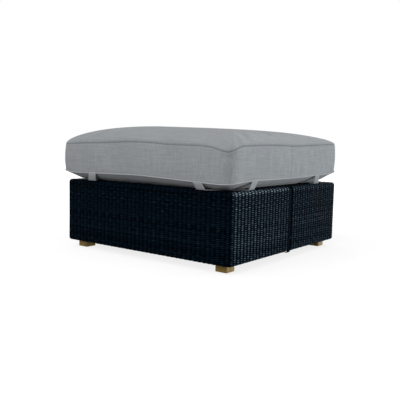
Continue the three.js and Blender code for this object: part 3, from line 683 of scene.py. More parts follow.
def fabric_material(name, dark, light):
    material, shader = blank_material(name)
    tree = material.node_tree
    place = add_node(tree, "TexCoord").outputs
    facing = add_node(tree, "SeparateXYZ", (), {0: place["Normal"]}).outputs
    slub_parts, thread_parts = [], []
    for axis in range(3):
        square = maths(tree, "MULTIPLY", facing[axis], facing[axis])
        lies_here = maths(tree, "SUBTRACT", 1.0, square)
        for length, width, found in ((SLUB_LENGTH, SLUB_WIDTH, slub_parts),
                                     (THREAD_LENGTH, THREAD_WIDTH, thread_parts)):
            scale = [width] * 3
            scale[axis] = length
            streak = add_node(tree, "Mapping", (), {"Vector": place["Object"], "Scale": scale,
                                                    "Location": (3.1 * axis, 1.7 * axis, 2.3 * axis)})
            noise = add_node(tree, "TexNoise", (), {"Vector": streak.outputs[0], "Scale": 1.0,
                                                    "Detail": 1.5})
            centred = maths(tree, "SUBTRACT", noise.outputs[0], 0.5)
            found.append(maths(tree, "MULTIPLY", centred, lies_here))
    slubs, threads = (maths(tree, "ADD", maths(tree, "ADD", parts[0], parts[1]), parts[2])
                      for parts in (slub_parts, thread_parts))
    cloudy = add_node(tree, "TexNoise", (), {"Vector": place["Object"], "Scale": CLOUD_SCALE, "Detail": 2.0})
    soft = maths(tree, "MULTIPLY", maths(tree, "SUBTRACT", cloudy.outputs[0], 0.5), CLOUD_SHARE)
    slub_tone = maths(tree, "MULTIPLY", slubs, SLUB_SHARE)
    total = maths(tree, "ADD", slub_tone, maths(tree, "MULTIPLY", threads, THREAD_SHARE))
    level = maths(tree, "ADD", maths(tree, "ADD", total, soft), 0.5)
    ramp = add_node(tree, "ValToRGB", (), {"Fac": level})
    ramp.color_ramp.elements[0].color = dark
    ramp.color_ramp.elements[1].color = light
    # the seam value below paints the cloth darker in the seam grooves, a painted shade
    seam_share = add_node(tree, "Attribute", {"attribute_name": "seam_painted_shade"}).outputs["Fac"]
    painted_seam_shade = maths(tree, "MULTIPLY", seam_share, SEAM_SHADE)
    shaded = add_node(tree, "Mix", {"data_type": "RGBA", "blend_type": "MULTIPLY"}, {
        0: painted_seam_shade, 6: ramp.outputs[0], 7: SEAM_TINT})
    tree.links.new(shaded.outputs[2], shader.inputs["Base Color"])
    relief = maths(tree, "ADD", threads, maths(tree, "MULTIPLY", slubs, SLUB_RELIEF))
    bump = add_node(tree, "Bump", (), {"Strength": RELIEF_STRENGTH, "Distance": RELIEF_DEPTH,
                                       "Height": relief})
    tree.links.new(bump.outputs[0], shader.inputs["Normal"])
    shader.inputs["Roughness"].default_value = 0.93
    shader.inputs["Specular IOR Level"].default_value = 0.18
    shader.inputs["Sheen Weight"].default_value = 0.12
    shader.inputs["Sheen Roughness"].default_value = 0.5
    return material


cushion_finish = fabric_material("cushion_weave", FABRIC_DARK, FABRIC_LIGHT)
lip_highlight_finish = fabric_material("lip_weave", FABRIC_LIGHT, LIP_HIGHLIGHT)

# %% [markdown]
# ## Cutting the cushion cover
# The cover has a top panel, a boxing strip round the sides and a bottom panel. Its two seams
# aren't level: they rise and fall by some millimetres along each side, and dip in a V at the
# corners, where the strip is pulled down. The cover is laid out as three grids that share their
# seam points, finer towards the seams. Grids that know where the seams are can be blown up by the
# cloth solver and still carry a crisp seam, which a remeshed blob can't. A seam's height is given
# in millimetres at a few shares of each side, from -1 at one corner to 1 at the next.

# %% Outline and seam heights
CUSHION_CENTRE = np.array([-6.0, -9.0]) * MM
CUSHION_HALF = 410 * MM
CUSHION_RADIUS = 40 * MM
SIDE_DRAW = 5 * MM
BOXING_SWELL = 2.5 * MM
PANEL_CELLS = 96
BOXING_CELLS = 14
GRID_CROWD = 1.25
TOP_SEAM = {
    "front": ((-1, 410.5), (-0.92, 413.5), (-0.8, 416), (-0.55, 419), (-0.28, 422.5), (-0.09, 428),
              (0.02, 425.5), (0.19, 425), (0.34, 420.5), (0.54, 420), (0.70, 420), (0.80, 418),
              (0.87, 413), (0.95, 403), (1, 401)),
    "right": ((-1, 401), (-0.96, 407), (-0.85, 421), (-0.72, 423), (-0.23, 425.4), (0.10, 423),
              (0.49, 428.5), (0.9, 435), (1, 431.5)),
    "rear": ((-1, 431.5), (-0.8, 431), (-0.45, 425), (0, 423), (0.4, 425), (0.7, 422), (0.86, 417),
             (1, 406)),
    "left": ((-1, 406), (-0.86, 418), (-0.6, 423), (-0.1, 426), (0.3, 423), (0.7, 421), (0.88, 415),
             (1, 410.5)),
}
SEAM_SMOOTHING = 1.6
BOTTOM_SEAM = {
    "front": ((-1, 310.5), (-0.95, 308.5), (-0.88, 305), (-0.8, 303.5), (-0.55, 305.5), (0.03, 309.5),
              (0.35, 305), (0.65, 301), (0.93, 297.5), (1, 298)),
    "right": ((-1, 298), (-0.86, 303.6), (-0.62, 307), (-0.31, 305.5), (0.1, 305.6), (0.4, 308.5),
              (0.79, 313), (0.88, 314), (0.95, 319), (1, 325)),
    "rear": ((-1, 325), (-0.95, 319), (-0.85, 311), (-0.5, 307), (0, 305), (0.5, 307), (1, 301)),
    "left": ((-1, 301), (-0.5, 306), (0, 308), (0.5, 305), (0.88, 305), (0.95, 308.5), (1, 310.5)),
}


def crowded(cells):
    """Shares from -1 to 1 that stand closer together towards both ends."""
    even = np.linspace(-1, 1, cells + 1)
    return np.sin(even * GRID_CROWD) / math.sin(GRID_CROWD)


def side_outline(share):
    """The front side of the cushion in plan, from corner middle to corner middle."""
    flat = CUSHION_HALF - CUSHION_RADIUS
    arc = CUSHION_RADIUS * math.pi / 4
    walked = share * (flat + arc)
    turn = np.clip((np.abs(walked) - flat) / CUSHION_RADIUS, 0, math.pi / 4) * np.sign(walked)
    x = np.clip(walked, -flat, flat) + CUSHION_RADIUS * np.sin(turn)
    draw = SIDE_DRAW * (1 - np.clip(np.abs(walked) / flat, 0, 1) ** 2)
    return np.stack([x, -(flat + CUSHION_RADIUS * np.cos(turn)) + draw], -1)


def smooth_round(values, reach):
    """Smooths a closed ring of values."""
    offsets = np.arange(-math.ceil(3 * reach), math.ceil(3 * reach) + 1)
    weights = np.exp(-0.5 * (offsets / reach) ** 2)
    rolled = np.stack([np.roll(values, k) for k in offsets])
    return (rolled * (weights / weights.sum())[:, None]).sum(0)


def seam_ring(heights):
    """Seam heights at the ring's points, in the order front, right, rear, left."""
    share = crowded(PANEL_CELLS)[:-1]
    rings = [np.interp(share, *np.array(heights[side]).T) for side in ("front", "right", "rear", "left")]
    return smooth_round(np.concatenate(rings), SEAM_SMOOTHING) * MM


side_plan = side_outline(crowded(PANEL_CELLS))[:-1]
quarter_turns = [np.array([[1, 0], [0, 1]]), np.array([[0, -1], [1, 0]]),
                 np.array([[-1, 0], [0, -1]]), np.array([[0, 1], [-1, 0]])]
ring_plan = np.concatenate([side_plan @ turn.T for turn in quarter_turns])
top_ring = seam_ring(TOP_SEAM)
bottom_ring = seam_ring(BOTTOM_SEAM)
print("seam ring of", len(ring_plan), "points")
print("top seam from", round(top_ring.min(), 4), "to", round(top_ring.max(), 4), "m")

# %% [markdown]
# The top panel domes up steeply from its seam and is nearly flat in the middle, as foam with a
# fibre wrap makes it. The bottom panel bellies down the same way until it rests on the deck. The
# seam's own rise and fall dies away into each panel, which the small relaxation loop gives. The
# crown leans a little, as a used cushion's does.

# %% Panels of the cushion
CROWN_HEIGHT = 69.3 * MM
CROWN_POWER, CROWN_ROUND = 3.2, 0.425
CROWN_LEAN = (-9.5 * MM, 1.8 * MM)
BELLY_DROP, BELLY_REACH, BELLY_ROUND = 36 * MM, 77 * MM, 1.3
REST_LEVEL = DECK_TOP + 0.5 * MM
RELAX_STEPS = 900


def panel_grid(ring):
    """A grid that fills a ring of four equal sides, shaped (cells + 1, cells + 1, width)."""
    n = PANEL_CELLS
    grid = np.zeros((n + 1, n + 1, ring.shape[1]))
    front, right_side, rear, left_side = (
        np.take(ring, np.arange(k * n, k * n + n + 1), axis=0, mode="wrap") for k in range(4))
    share = (crowded(n) + 1) / 2
    u, v = share[None, :, None], share[:, None, None]
    grid += (1 - v) * front[None] + v * rear[::-1][None]
    grid += (1 - u) * left_side[::-1][:, None] + u * right_side[:, None]
    corners = (1 - u) * (1 - v) * front[0] + u * (1 - v) * right_side[0]
    corners = corners + u * v * rear[0] + (1 - u) * v * left_side[0]
    return grid - corners


def relaxed(grid):
    """Lets the heights inside a grid settle between those on its edge."""
    level = grid.copy()
    level[1:-1, 1:-1] = level[[0, -1]].mean()
    for _ in range(RELAX_STEPS):
        level[1:-1, 1:-1] = (level[:-2, 1:-1] + level[2:, 1:-1] + level[1:-1, :-2] + level[1:-1, 2:]) / 4
    return level


panel_share = crowded(PANEL_CELLS)
fall = 1 - np.abs(panel_share) ** CROWN_POWER
dome = fall[:, None] * fall[None, :]
seam_plan = ring_plan * (1 - BOXING_SWELL / CUSHION_HALF)
panel_plan = panel_grid(seam_plan)
lean = sum(CROWN_LEAN[k] * panel_plan[..., k] / CUSHION_HALF for k in (0, 1))
top_level = relaxed(panel_grid(top_ring[:, None])[..., 0]) + (CROWN_HEIGHT + lean) * dome ** CROWN_ROUND
edge_reach = np.clip((1 - np.abs(panel_share)) * CUSHION_HALF / BELLY_REACH, 0, 1)
belly_fall = 1 - (1 - edge_reach) ** BELLY_ROUND
belly_drop = BELLY_DROP * belly_fall[:, None] * belly_fall[None, :]
seam_level = panel_grid(bottom_ring[:, None])[..., 0]
bottom_level = relaxed(seam_level) - belly_drop
print("summit", round(top_level.max(), 4))

# %% Straps lie under the corners
# how far from its corner each strap is sewn on: on the right or left side, on the front or rear
STRAP_TABS = {"front_right": (158 * MM, 131 * MM), "rear_right": (190 * MM, 172 * MM),
              "rear_left": (166 * MM, 166 * MM), "front_left": (172 * MM, 181 * MM)}
STRAP_HALF = 19 * MM
STRAP_SLACK = 9 * MM
STRAP_INSET = 3.4 * MM
STRAP_THICKNESS = 1.6 * MM
STRAP_ROOM = 3.4 * MM
STRAP_BESIDE, STRAP_FALL = 22 * MM, 20 * MM
REST_TURN = 5 * MM


def rest_level(x, y):
    """Lowest level of the cushion: the deck, or the strap where one lies under a corner."""
    corners = [(x > 0) & (y < 0), (x > 0) & (y >= 0), (x <= 0) & (y >= 0), (x <= 0) & (y < 0)]
    side_end, front_end = (np.select(corners, [CUSHION_HALF - tabs[k] for tabs in STRAP_TABS.values()])
                           for k in (0, 1))
    edge = CUSHION_HALF - STRAP_INSET
    run_x, run_y = front_end - edge, edge - side_end
    away = np.abs((np.abs(x) - edge) * run_y - (np.abs(y) - side_end) * run_x) / np.hypot(run_x, run_y)
    over = np.clip((STRAP_HALF + STRAP_BESIDE + STRAP_SLACK - away) / STRAP_FALL, 0, 1)
    return REST_LEVEL + STRAP_ROOM * over * over * (3 - 2 * over)


def resting(level, lowest):
    """Heights held above the lowest level, with a soft turn into the flat."""
    gap = (level - lowest) / REST_TURN
    softened = np.where(gap > 30, gap, np.log1p(np.exp(np.clip(gap, -40, 30))))
    return lowest + REST_TURN * softened - REST_TURN * math.log(2) * np.exp(-np.abs(gap))


lowest_level = rest_level(panel_plan[..., 0], panel_plan[..., 1])
bottom_level = np.maximum(resting(bottom_level, lowest_level), lowest_level)
for edge_row in (0, -1):
    bottom_level[edge_row] = seam_level[edge_row]
    bottom_level[:, edge_row] = seam_level[:, edge_row]
print("belly from", round(bottom_level.min(), 4))

# %% [markdown]
# ## Sewing the cover together
# The three grids become one closed mesh. The numbers of the seam points are kept, because they
# hold the cover while it is blown up, and take the groove afterwards. Each panel also gets its
# place on a map, which keeps its colour when the model is exported.

# %% Sew the panels and the boxing
SWELL_REACH, SWELL_POWER = 1.15, 0.8
PANEL_ON_MAP, STRIP_ON_MAP, STRIP_APART = 0.485, 0.11, 0.12


def ring_of(grid):
    """Edge values of a grid in the order of the ring."""
    return np.concatenate([grid[0, :-1], grid[:-1, -1], grid[-1, :0:-1], grid[:0:-1, 0]])


n, ring_count = PANEL_CELLS, 4 * PANEL_CELLS
grid_index = np.arange((n + 1) ** 2).reshape(n + 1, n + 1)
top_index = grid_index
bottom_index = grid_index + (n + 1) ** 2
boxing_start = 2 * (n + 1) ** 2
ring_index = [ring_of(bottom_index)]
boxing_points = []
rise_shares = (crowded(BOXING_CELLS) + 1) / 2
outwards = ring_plan / np.linalg.norm(ring_plan, axis=1)[:, None]
for row, up in enumerate(rise_shares[1:-1]):
    swell = BOXING_SWELL * math.sin(math.pi * up) ** SWELL_POWER
    plan = seam_plan + outwards * swell * SWELL_REACH
    level = bottom_ring * (1 - up) + top_ring * up
    boxing_points.append(np.concatenate([plan, level[:, None]], 1))
    ring_index.append(boxing_start + row * ring_count + np.arange(ring_count))
ring_index.append(ring_of(top_index))
ring_index = np.array(ring_index)

panel_points = [np.concatenate([panel_plan, level[..., None]], -1).reshape(-1, 3)
                for level in (top_level, bottom_level)]
cover_points = np.concatenate(panel_points + boxing_points)
cover_points[:, :2] += CUSHION_CENTRE


def grid_faces(index):
    return np.stack([index[:-1, :-1], index[:-1, 1:], index[1:, 1:], index[1:, :-1]], -1).reshape(-1, 4)


wrapped = np.concatenate([ring_index, ring_index[:, :1]], 1)
cover_faces = [grid_faces(top_index), grid_faces(bottom_index)[:, ::-1], grid_faces(wrapped)]


def panel_map(low):
    """Places of a panel's points on the map, from a lowest corner."""
    share = (panel_share + 1) / 2 * PANEL_ON_MAP
    u, v = np.meshgrid(low[0] + share, low[1] + share)
    return np.stack([u, v], -1).reshape(-1, 2)


top_places, bottom_places = np.zeros((2, len(cover_points), 2))
top_places[top_index.ravel()] = panel_map((0.005, 0.505))
bottom_places[bottom_index.ravel()] = panel_map((0.505, 0.505))
row, column = np.meshgrid(np.arange(BOXING_CELLS), np.arange(ring_count), indexing="ij")
side_number = column // n
u_low, u_high = (column % n) / n * 0.98 + 0.01, (column % n + 1) / n * 0.98 + 0.01
v_low = 0.49 - STRIP_APART * side_number - STRIP_ON_MAP + row / BOXING_CELLS * STRIP_ON_MAP
v_high = v_low + STRIP_ON_MAP / BOXING_CELLS
boxing_map = np.stack([np.stack([u_low, v_low], -1), np.stack([u_high, v_low], -1),
                       np.stack([u_high, v_high], -1), np.stack([u_low, v_high], -1)], -2).reshape(-1, 4, 2)
cover_maps = {"OFBake": [top_places[cover_faces[0]], bottom_places[cover_faces[1]], boxing_map]}
cushion = closed_mesh("seat_cushion_cover", cover_points, cover_faces, cushion_finish,
                      "cushion", cover_maps)
print("cover", len(cushion.data.vertices), "points")

# %% [markdown]
# ## Blowing up the cover
# The cover is cut a little full and stuffed, so it bulges between its seams and gathers in soft
# creases. The cloth solver does the same: pressure from within, a small growth of the cloth, no
# gravity, and the seams and the resting part of the belly held. The panels already have their
# measured swell, so only the creases that the solver finds are kept, up to a set reach.

# %% Points and groups of a mesh
def mesh_points(piece):
    flat = np.empty(len(piece.data.vertices) * 3, np.float32)
    piece.data.vertices.foreach_get("co", flat)
    return flat.reshape(-1, 3).astype(float)


def set_points(piece, points):
    piece.data.vertices.foreach_set("co", points.astype(np.float32).ravel())
    piece.data.update()


def name_points(piece, name, chosen):
    piece.vertex_groups.new(name=name).add([int(k) for k in chosen], 1.0, "REPLACE")


def evened(piece, values, held, steps):
    """Values averaged over neighbours again and again, with those of the held points at 0."""
    edges = np.empty(len(piece.data.edges) * 2, np.int32)
    piece.data.edges.foreach_get("vertices", edges)
    a, b = edges.reshape(-1, 2).T
    count = len(values)
    partners = np.bincount(a, minlength=count) + np.bincount(b, minlength=count)
    partners = np.maximum(partners, 1)[:, None]
    for _ in range(steps):
        total = np.stack([np.bincount(a, values[b, k], count) + np.bincount(b, values[a, k], count)
                          for k in range(3)], 1)
        values = (values + total / partners) / 2
        values[held] = 0
    return values

# %% Blow up the cover with the cloth solver
PRESSURE = 4.0
CLOTH_GROWTH = 0.010
LAST_FRAME = 20
CREASE_REACH = 3.5 * MM
CREASE_SHARE = 0.6
EVEN_STEPS = 60
BELLY_HELD = 1.5 * MM


def blow_up(piece, held):
    """Gives each free point the creases that the cloth solver finds, without its swell."""
    start = mesh_points(piece)
    name_points(piece, "held", held)
    solver = piece.modifiers.new("cover", "CLOTH")
    cloth = solver.settings
    cloth.quality = 6
    cloth.mass = 0.3
    cloth.tension_stiffness = cloth.compression_stiffness = 18
    cloth.shear_stiffness = 8
    cloth.bending_stiffness = 1.2
    cloth.vertex_group_mass = "held"
    cloth.use_pressure = True
    cloth.uniform_pressure_force = PRESSURE
    cloth.shrink_min = -CLOTH_GROWTH
    cloth.effector_weights.gravity = 0
    solver.collision_settings.use_collision = False
    solver.point_cache.frame_start, solver.point_cache.frame_end = 1, LAST_FRAME
    for step in range(1, LAST_FRAME + 1):
        bpy.context.scene.frame_set(step)
    posed = piece.evaluated_get(bpy.context.evaluated_depsgraph_get())
    moved = np.array([v.co for v in posed.data.vertices])
    piece.modifiers.remove(solver)
    bpy.context.scene.frame_set(1)
    move = moved - start
    swell = np.linalg.norm(move, axis=1)
    creases = evened(piece, move, held, 1) - evened(piece, move, held, EVEN_STEPS)
    length = np.linalg.norm(creases, axis=1)
    kept = CREASE_REACH * np.tanh(CREASE_SHARE * length / CREASE_REACH)
    creases *= (kept / np.maximum(length, 1e-9))[:, None]
    set_points(piece, start + creases)
    return swell, np.linalg.norm(creases, axis=1)


cover_x, cover_y = (cover_points[:, :2] - CUSHION_CENTRE).T
belly = cover_points[:, 2] < rest_level(cover_x, cover_y) + BELLY_HELD
held = np.unique(np.concatenate([ring_index[0], ring_index[-1], np.nonzero(belly)[0]]))
swell, creases = blow_up(cushion, held)
print("swell up to", round(swell.max() / MM, 1), "mm; creases kept:", round(creases.mean() / MM, 2),
      "mm on average,", round(creases.max() / MM, 2), "mm at most")

# %% [markdown]
# ## Seams
# A seam pulls the cloth into a groove. Vertex groups hold the seam points through one subdivision,
# so they can be drawn inwards afterwards, and the row beside them a little less. The joint of the
# boxing strip, in the middle of each side, gets a shallow groove too, and the cloth puckers a
# little under the dip of the near corner.

# %% Subdivide and draw in the seams
TOP_GROOVE, BOTTOM_GROOVE, JOINT_GROOVE = 2.2 * MM, 1.6 * MM, 1.4 * MM
JOINT_SHADE = 0.15
PUCKER_INSET, PUCKER_LEVEL = 12 * MM, 0.384
PUCKER_SIZE, PUCKER_DEPTH = np.array([16, 16, 9]), 3.2 * MM

name_points(cushion, "top_seam", ring_index[-1])
name_points(cushion, "bottom_seam", ring_index[0])
name_points(cushion, "boxing_joint", ring_index[:, n + n // 2])
finer = cushion.modifiers.new("finer", "SUBSURF")
finer.levels = finer.render_levels = 1
graph = bpy.context.evaluated_depsgraph_get()
fine_mesh = bpy.data.meshes.new_from_object(cushion.evaluated_get(graph), preserve_all_data_layers=True,
                                            depsgraph=graph)
cushion.modifiers.remove(finer)
cushion.data = fine_mesh


def group_weights(piece, name):
    index = piece.vertex_groups[name].index
    weights = np.zeros(len(piece.data.vertices))
    for vertex in piece.data.vertices:
        for member in vertex.groups:
            if member.group == index:
                weights[vertex.index] = member.weight
    return weights


def point_normals(piece):
    flat = np.empty(len(piece.data.vertices) * 3, np.float32)
    piece.data.vertices.foreach_get("normal", flat)
    return flat.reshape(-1, 3).astype(float)


fine = mesh_points(cushion)
normals = point_normals(cushion)
top_weight, bottom_weight, joint_weight = (group_weights(cushion, name)
                                           for name in ("top_seam", "bottom_seam", "boxing_joint"))
groove = TOP_GROOVE * top_weight ** 2 + BOTTOM_GROOVE * bottom_weight ** 2
groove = groove + JOINT_GROOVE * joint_weight ** 1.5
fine -= normals * groove[:, None]
near_corner = np.append(CUSHION_CENTRE + np.array([1, -1]) * (CUSHION_HALF - PUCKER_INSET), PUCKER_LEVEL)
away = (fine - near_corner) / PUCKER_SIZE / MM
pucker = np.exp(-0.5 * (away ** 2).sum(1))
fine -= normals * (PUCKER_DEPTH * pucker)[:, None]
set_points(cushion, fine)
# the top seam and, more faintly, the boxing joint are painted darker, a painted shade in their grooves
seam_shade_share = (top_weight ** 2.5 + JOINT_SHADE * joint_weight ** 2).clip(0, 1)
seam_painted_shade = cushion.data.attributes.new("seam_painted_shade", "FLOAT", "POINT")
seam_painted_shade.data.foreach_set("value", seam_shade_share.astype(np.float32))
cushion.data.validate()
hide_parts("seat_cushion")
print("cushion", len(cushion.data.polygons), "faces")

# %% [markdown]
# ## Lower lip and stitches
# The seam rings are read back from the finished cushion, so that lip and thread follow every
# wave of the seam. The lower lip is a thin roll of cover cloth. The thread shows as one short
# stitch after another, sunk in the groove.

# %% Roll the lower lip
LIP_RADIUS, LIP_LIFT, LIP_STEP, LIP_SIDES = 2.4 * MM, 2.2 * MM, 6 * MM, 8


def seam_line(piece, weight):
    """Points of a seam on the finished cushion, in order round it, with the way out."""
    chosen = np.nonzero(weight > 0.99)[0]
    points, ways = mesh_points(piece)[chosen], point_normals(piece)[chosen]
    flat = points[:, :2] - CUSHION_CENTRE
    order = np.argsort(np.arctan2(flat[:, 1], flat[:, 0]))
    return points[order], ways[order]


def even_ring(points, ways, pitch):
    """The ring at an even spacing."""
    closed = np.concatenate([points, points[:1]])
    closed_ways = np.concatenate([ways, ways[:1]])
    walked = np.concatenate([[0], np.cumsum(np.linalg.norm(np.diff(closed, axis=0), axis=1))])
    count = int(round(walked[-1] / pitch))
    places = np.arange(count) * walked[-1] / count
    spaced = np.stack([np.interp(places, walked, closed[:, k]) for k in range(3)], 1)
    turned = np.stack([np.interp(places, walked, closed_ways[:, k]) for k in range(3)], 1)
    return spaced, turned / np.linalg.norm(turned, axis=1)[:, None]


def rolled_lip(name, points, ways, radius, lift):
    """A closed ring of round section laid on a seam."""
    spaced, turned = even_ring(points, ways, LIP_STEP)
    spaced = spaced + turned * lift
    ahead = np.roll(spaced, -1, 0) - np.roll(spaced, 1, 0)
    side = np.cross(ahead, turned)
    side /= np.linalg.norm(side, axis=1)[:, None]
    angle = np.linspace(0, 2 * math.pi, LIP_SIDES + 1)[:-1]
    rings = (spaced[:, None] + side[:, None] * radius * np.cos(angle)[None, :, None]
             + turned[:, None] * radius * np.sin(angle)[None, :, None])
    index = np.arange(len(rings) * LIP_SIDES).reshape(-1, LIP_SIDES)
    around = np.concatenate([index, index[:1]])
    around = np.concatenate([around, around[:, :1]], 1)
    row, column = np.meshgrid(np.arange(len(index)), np.arange(LIP_SIDES), indexing="ij")
    corner_row = np.stack([row, row, row + 1, row + 1], -1) / len(index)
    corner_column = np.stack([column, column + 1, column + 1, column], -1) / LIP_SIDES
    maps = {"OFBake": [np.stack([corner_row, corner_column], -1).reshape(-1, 4, 2)]}
    return closed_mesh(name, rings, [grid_faces(around)], lip_highlight_finish, "cushion", maps)


bottom_points, bottom_ways = seam_line(cushion, bottom_weight)
rolled_lip("lower_seam_lip", bottom_points, bottom_ways, LIP_RADIUS, LIP_LIFT)
print("lower seam", len(bottom_points), "points")

# %% Set the stitches
STITCH_PITCH, STITCH_SHARE = 4.6 * MM, 0.62
STITCH_RADIUS, STITCH_LIFT, STITCH_SIDES = 0.35 * MM, 0.1 * MM, 6
THREAD_COLOUR = (0.16, 0.17, 0.185, 1)


def stitches(name, points, ways, lift):
    """Short threads one after another along a seam."""
    spaced, turned = even_ring(points, ways, STITCH_PITCH)
    ahead = np.roll(spaced, -1, 0) - spaced
    ahead /= np.linalg.norm(ahead, axis=1)[:, None]
    half = STITCH_PITCH * STITCH_SHARE / 2
    share = np.array([-1, -0.6, 0.6, 1.0])
    centres = spaced[:, None] + ahead[:, None] * half * share[None, :, None]
    rise = np.array([-0.5, 0.35, 0.35, -0.5]) * STITCH_RADIUS * 2
    centres = centres + turned[:, None] * (lift + rise)[None, :, None]
    out = np.broadcast_to(turned[:, None], centres.shape)
    across = np.broadcast_to(np.cross(ahead, turned)[:, None], centres.shape)
    angle = np.linspace(0, 2 * math.pi, STITCH_SIDES + 1)[:-1]
    profile = np.stack([np.cos(angle), np.sin(angle)], 1) * STITCH_RADIUS
    rings, faces, maps = carried(centres, across, out, profile)
    return closed_mesh(name, rings, faces, thread_finish, "cushion", maps)


thread_finish, thread_shader = blank_material("seam_thread")
thread_shader.inputs["Base Color"].default_value = THREAD_COLOUR
thread_shader.inputs["Roughness"].default_value = 0.7
thread_noise = add_node(thread_finish.node_tree, "TexNoise", (), {"Scale": 900.0})
thread_bump = add_node(thread_finish.node_tree, "Bump", (), {
    "Strength": 0.4, "Distance": 0.1 * MM, "Height": thread_noise.outputs[0]})
thread_finish.node_tree.links.new(thread_bump.outputs[0], thread_shader.inputs["Normal"])

top_points, top_ways = seam_line(cushion, top_weight)
stitches("upper_seam_stitches", top_points, top_ways, STITCH_LIFT)
print("upper seam", len(top_points), "points")

# %% [markdown]
# ## Corner straps
# Each corner has a flat band of cover cloth. It is sewn into the lower seam on both sides of the
# corner, at the distances that the picture shows, drops to the deck and crosses under the cushion.
# It hangs square from the seam and turns aslant under the corner. Rows that only turn would bring
# its hems closer together there, so they are spread again, and the band keeps its width. It is
# best modelled directly: rows of points along it, a little slack towards the middle, and a thin
# closed section that is thinner at its hems.

# %% Where the straps hang
STRAP_COLUMNS = 9
UNDER_DECK = 20 * MM
cushion_tree = BVHTree.FromObject(cushion, bpy.context.evaluated_depsgraph_get())


def strap_edges(turn, tabs):
    """The two ends of a strap in plan, at the lower seam, as rows of points."""
    width = np.linspace(-1, 1, STRAP_COLUMNS) * STRAP_HALF
    reach = np.full(STRAP_COLUMNS, CUSHION_HALF - STRAP_INSET)
    first = np.stack([reach, -(CUSHION_HALF - tabs[0] + width)], 1)
    last = np.stack([CUSHION_HALF - tabs[1] + width, -reach], 1)
    return (first @ turn.T + CUSHION_CENTRE, last @ turn.T + CUSHION_CENTRE)


def seam_level_at(place):
    return bottom_points[((bottom_points[:, :2] - place) ** 2).sum(1).argmin(), 2]


def underside(plan):
    """Height of the cushion's underside above places in plan."""
    heights = np.full(plan.shape[:2], 1.0)
    for place in np.ndindex(*plan.shape[:2]):
        start = Vector((*plan[place], DECK_TOP - UNDER_DECK))
        hit = cushion_tree.ray_cast(start, Vector((0, 0, 1)))[0]
        heights[place] = hit.z if hit else 1.0
    return heights


print("cushion's underside", round(underside(CUSHION_CENTRE[None, None])[0, 0], 4), "m up in the middle")

# %% Make the straps
STRAP_SAMPLES = 49
LEVEL_PART, CLIMB_POWER = 0.87, 1.1
TURN_SPEED = 1.5
CUSHION_GAP = 2.2 * MM
STRAP_LIFT, STRAP_RIPPLE = 0.4 * MM, 0.35 * MM
SEAM_DROP = 1.6 * MM
HEM_SHARE = 0.55
STRAP_SEED = 70


def corner_strap(name, turn, tabs, seed):
    chance = np.random.default_rng(seed)
    first, last = strap_edges(turn, tabs)
    centre_way = -np.array([1, -1]) @ turn.T / math.sqrt(2)
    t = np.linspace(0, 1, STRAP_SAMPLES)[:, None]
    plan = first[None] * (1 - t[..., None]) + last[None] * t[..., None]
    spine = plan[:, STRAP_COLUMNS // 2:STRAP_COLUMNS // 2 + 1]
    spread = 1 + (math.sqrt(2) - 1) * np.clip(np.sin(math.pi * t) * TURN_SPEED, 0, 1)
    slack = STRAP_SLACK * np.sin(math.pi * t) ** 2
    plan = spine + (plan - spine) * spread[..., None] + slack[..., None] * centre_way
    low = DECK_TOP + STRAP_LIFT + STRAP_THICKNESS / 2
    first_level, last_level = (np.array([seam_level_at(place) for place in row]) - SEAM_DROP
                               for row in (first, last))
    high = first_level[None] * (1 - t) + last_level[None] * t
    climb = np.clip((np.abs(2 * t - 1) - LEVEL_PART) / (1 - LEVEL_PART), 0, 1) ** CLIMB_POWER
    level = np.clip(low + (high - low) * climb, low, np.maximum(underside(plan) - CUSHION_GAP, low))
    drift = np.sin(2 * math.pi * (t * 1.5 + chance.uniform())) * STRAP_RIPPLE
    level = level + np.abs(drift) * (1 - climb)
    middle = np.concatenate([plan, level[..., None]], -1)
    along = np.gradient(middle, axis=0)
    across = np.gradient(middle, axis=1)
    out = np.cross(across, along)
    out /= np.linalg.norm(out, axis=2)[..., None]
    if out[STRAP_SAMPLES // 2, 0, 2] < 0:
        out = -out
    hem = np.ones(STRAP_COLUMNS)
    hem[[0, -1]] = HEM_SHARE
    half = (STRAP_THICKNESS / 2 * hem)[None, :, None]
    upper, lower = middle + out * half, middle - out * half
    points = np.concatenate([upper.reshape(-1, 3), lower.reshape(-1, 3)])
    index = np.arange(STRAP_SAMPLES * STRAP_COLUMNS).reshape(STRAP_SAMPLES, STRAP_COLUMNS)
    under = index + index.size
    edge, edge_under = ring_of(index), ring_of(under)
    rim = np.stack([edge, np.roll(edge, -1), np.roll(edge_under, -1), edge_under], 1)
    faces = [grid_faces(index), grid_faces(under)[:, ::-1], rim[:, ::-1]]
    u, v = np.meshgrid(np.linspace(0, 1, STRAP_COLUMNS), np.linspace(0, 1, STRAP_SAMPLES))
    flat = np.stack([v.ravel(), u.ravel() * 0.4 + 0.05], 1)
    places = np.concatenate([flat, flat + [0, 0.45]])
    rim_places = np.zeros((len(rim), 4, 2))
    rim_places[..., 0] = (np.arange(len(rim))[:, None] + np.array([0, 0, 1, 1])) / len(rim)
    rim_places[..., 1] = 0.95 + np.array([0, 0.03, 0.03, 0])
    maps = {"OFBake": [places[faces[0]], places[faces[1]], rim_places]}
    return closed_mesh(name, points, faces, cushion_finish, "cushion", maps)


for k, (corner, tabs) in enumerate(STRAP_TABS.items()):
    in_order = tabs if k % 2 == 0 else tabs[::-1]
    strap = corner_strap(f"strap_{corner}", quarter_turns[k], in_order, STRAP_SEED + k)
    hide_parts(f"corner_strap_{corner}")
print("straps made:", ", ".join(STRAP_TABS))

# %% [markdown]
# ## Wood, metal and plastic
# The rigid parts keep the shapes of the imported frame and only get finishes. The feet are light
# hardwood under oil, with grain that runs down the block. The tubes and plates are powder coated,
# which gives a fine orange peel. The bolts are bright zinc and the glides are black nylon.

